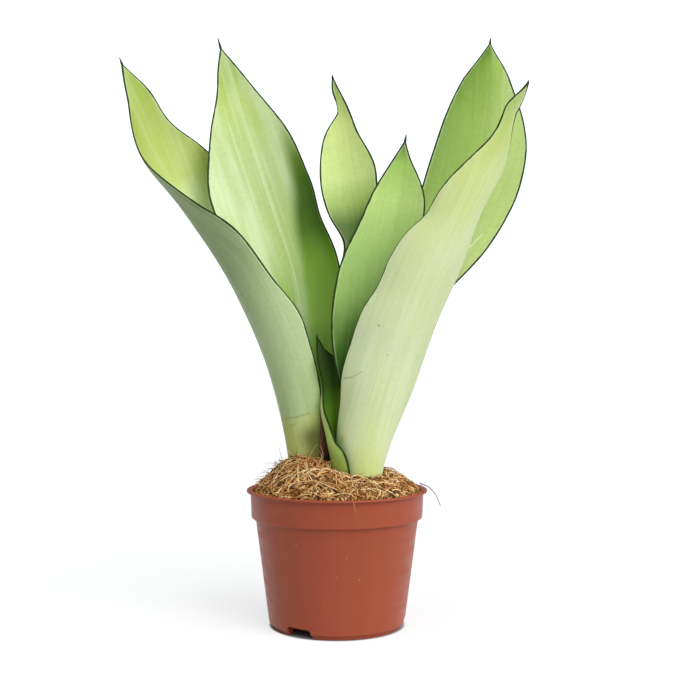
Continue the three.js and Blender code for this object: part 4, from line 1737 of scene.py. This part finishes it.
@dataclass(frozen=True)
class LightTable(Finish):
    """Light table: matte white, and glowing all round the pot. Places are in metres."""

    name: str = "studio_white_light_table"
    grey: float = 0.38
    # It glows from here outwards, so that the pot's foot keeps its shade
    edge: Pair = (0.0438, 0.0458)
    glow: float = 0.64
    share: float = 0.33

    def surface(self, graph: Graph) -> dict[str, Any]:
        """Draws a glow that is seen and mirrored in full but lights only with a share.

        Args:
            graph: The material's graph.

        Returns:
            What the Principled shader's inputs get.
        """
        away = graph.vector("LENGTH", graph.where())
        glow = graph.between(away, self.edge, (0.0, self.glow))
        ray = graph.add("LightPath").outputs
        direct = graph.number("MAXIMUM", ray["Is Camera Ray"], ray["Is Glossy Ray"])
        share = graph.between(direct, (0.0, 1.0), (self.share, 1.0), "LINEAR")
        return {
            "Emission Strength": graph.number("MULTIPLY", glow, share),
            "Emission Color": (1.0, 1.0, 1.0, 1.0),
            "Base Color": (self.grey, self.grey, self.grey, 1.0),
            "Roughness": 0.9,
            "Specular IOR Level": 0.1,
        }


@dataclass
class Studio:
    """Floor, soft lights and the camera. Places are in metres."""

    lens: float = 60.44
    sensor: float = 36.0
    eye: Place = (0.0017, -0.76, 0.1894)
    key_from: Place = (0.76, -0.76, 0.76)
    key_spread: float = 60.0
    key_power: float = 2.95
    fill_at: Place = (-0.40, -0.45, 1.30)
    fill_aim: Place = (0.0, 0.0, 0.18)
    fill_size: float = 0.8
    fill_power: float = 4.0
    sky: float = 0.44
    backdrop: float = 1.4
    floor_half: float = 6000.0  # millimetres

    def floor(self) -> None:
        """Lays the floor."""
        bm = bmesh.new()
        bmesh.ops.create_grid(bm, x_segments=1, y_segments=1, size=self.floor_half)
        floor = new_piece("studio_floor", bm)
        cover(floor, LightTable().build())

    @staticmethod
    def lamp(name: str, kind: str, power: float, towards: Vector) -> bpy.types.Object:
        """Adds a light.

        Args:
            name: Its name.
            kind: Its Blender type.
            power: Its strength or watts.
            towards: The direction from what it lights to the light.

        Returns:
            The lamp, at the origin.
        """
        data = bpy.data.lights.new(name, kind)
        data.energy = power
        made = link(name, data)
        made.rotation_euler = towards.to_track_quat("Z", "Y").to_euler()
        return made

    def lights(self) -> None:
        """Hangs the key light far away, to light the floor evenly, and a panel as fill."""
        key = self.lamp("key", "SUN", self.key_power, Vector(self.key_from))
        key.data.angle = math.radians(self.key_spread)
        aim = Vector(self.fill_at) - Vector(self.fill_aim)
        fill = self.lamp("fill", "AREA", self.fill_power, aim)
        fill.data.shape = "RECTANGLE"
        fill.data.size = fill.data.size_y = self.fill_size
        fill.location = self.fill_at

    def world(self) -> None:
        """Surrounds the scene with even, slightly cool light, seen as pure white."""
        world = bpy.data.worlds.new("studio")
        bpy.context.scene.world = world
        graph = Graph(world, "Background", "OutputWorld")
        seen = graph.add("LightPath").outputs["Is Camera Ray"]
        strength = graph.between(seen, (0.0, 1.0), (self.sky, self.backdrop), "LINEAR")
        graph.feed(graph.shader, {"Color": (0.9, 0.96, 1, 1), "Strength": strength})

    def camera(self) -> None:
        """Sets the camera level in front of the plant."""
        data = bpy.data.cameras.new("front")
        data.lens = self.lens
        data.sensor_width = self.sensor
        camera = link("front", data)
        camera.location = self.eye
        camera.rotation_euler = (math.pi / 2, 0, 0)
        bpy.context.scene.camera = camera

    def build(self) -> None:
        """Builds the whole studio."""
        self.floor()
        self.world()
        self.camera()
        self.lights()
        view = bpy.context.scene.view_settings
        view.view_transform, view.look = "Standard", "None"


def main() -> None:
    """Builds the studio, the plant and its pot."""
    logging.basicConfig(level=logging.INFO, format="%(name)s %(message)s")
    Studio().build()
    for blade in (*LEAVES, DRY_SCALE):
        blade.build()
    NurseryPot().build(MouldedPot())
    CoirMound().build()
    cover(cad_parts["rhizome"], RhizomeFinish().build())


if __name__ == "__main__":
    main()
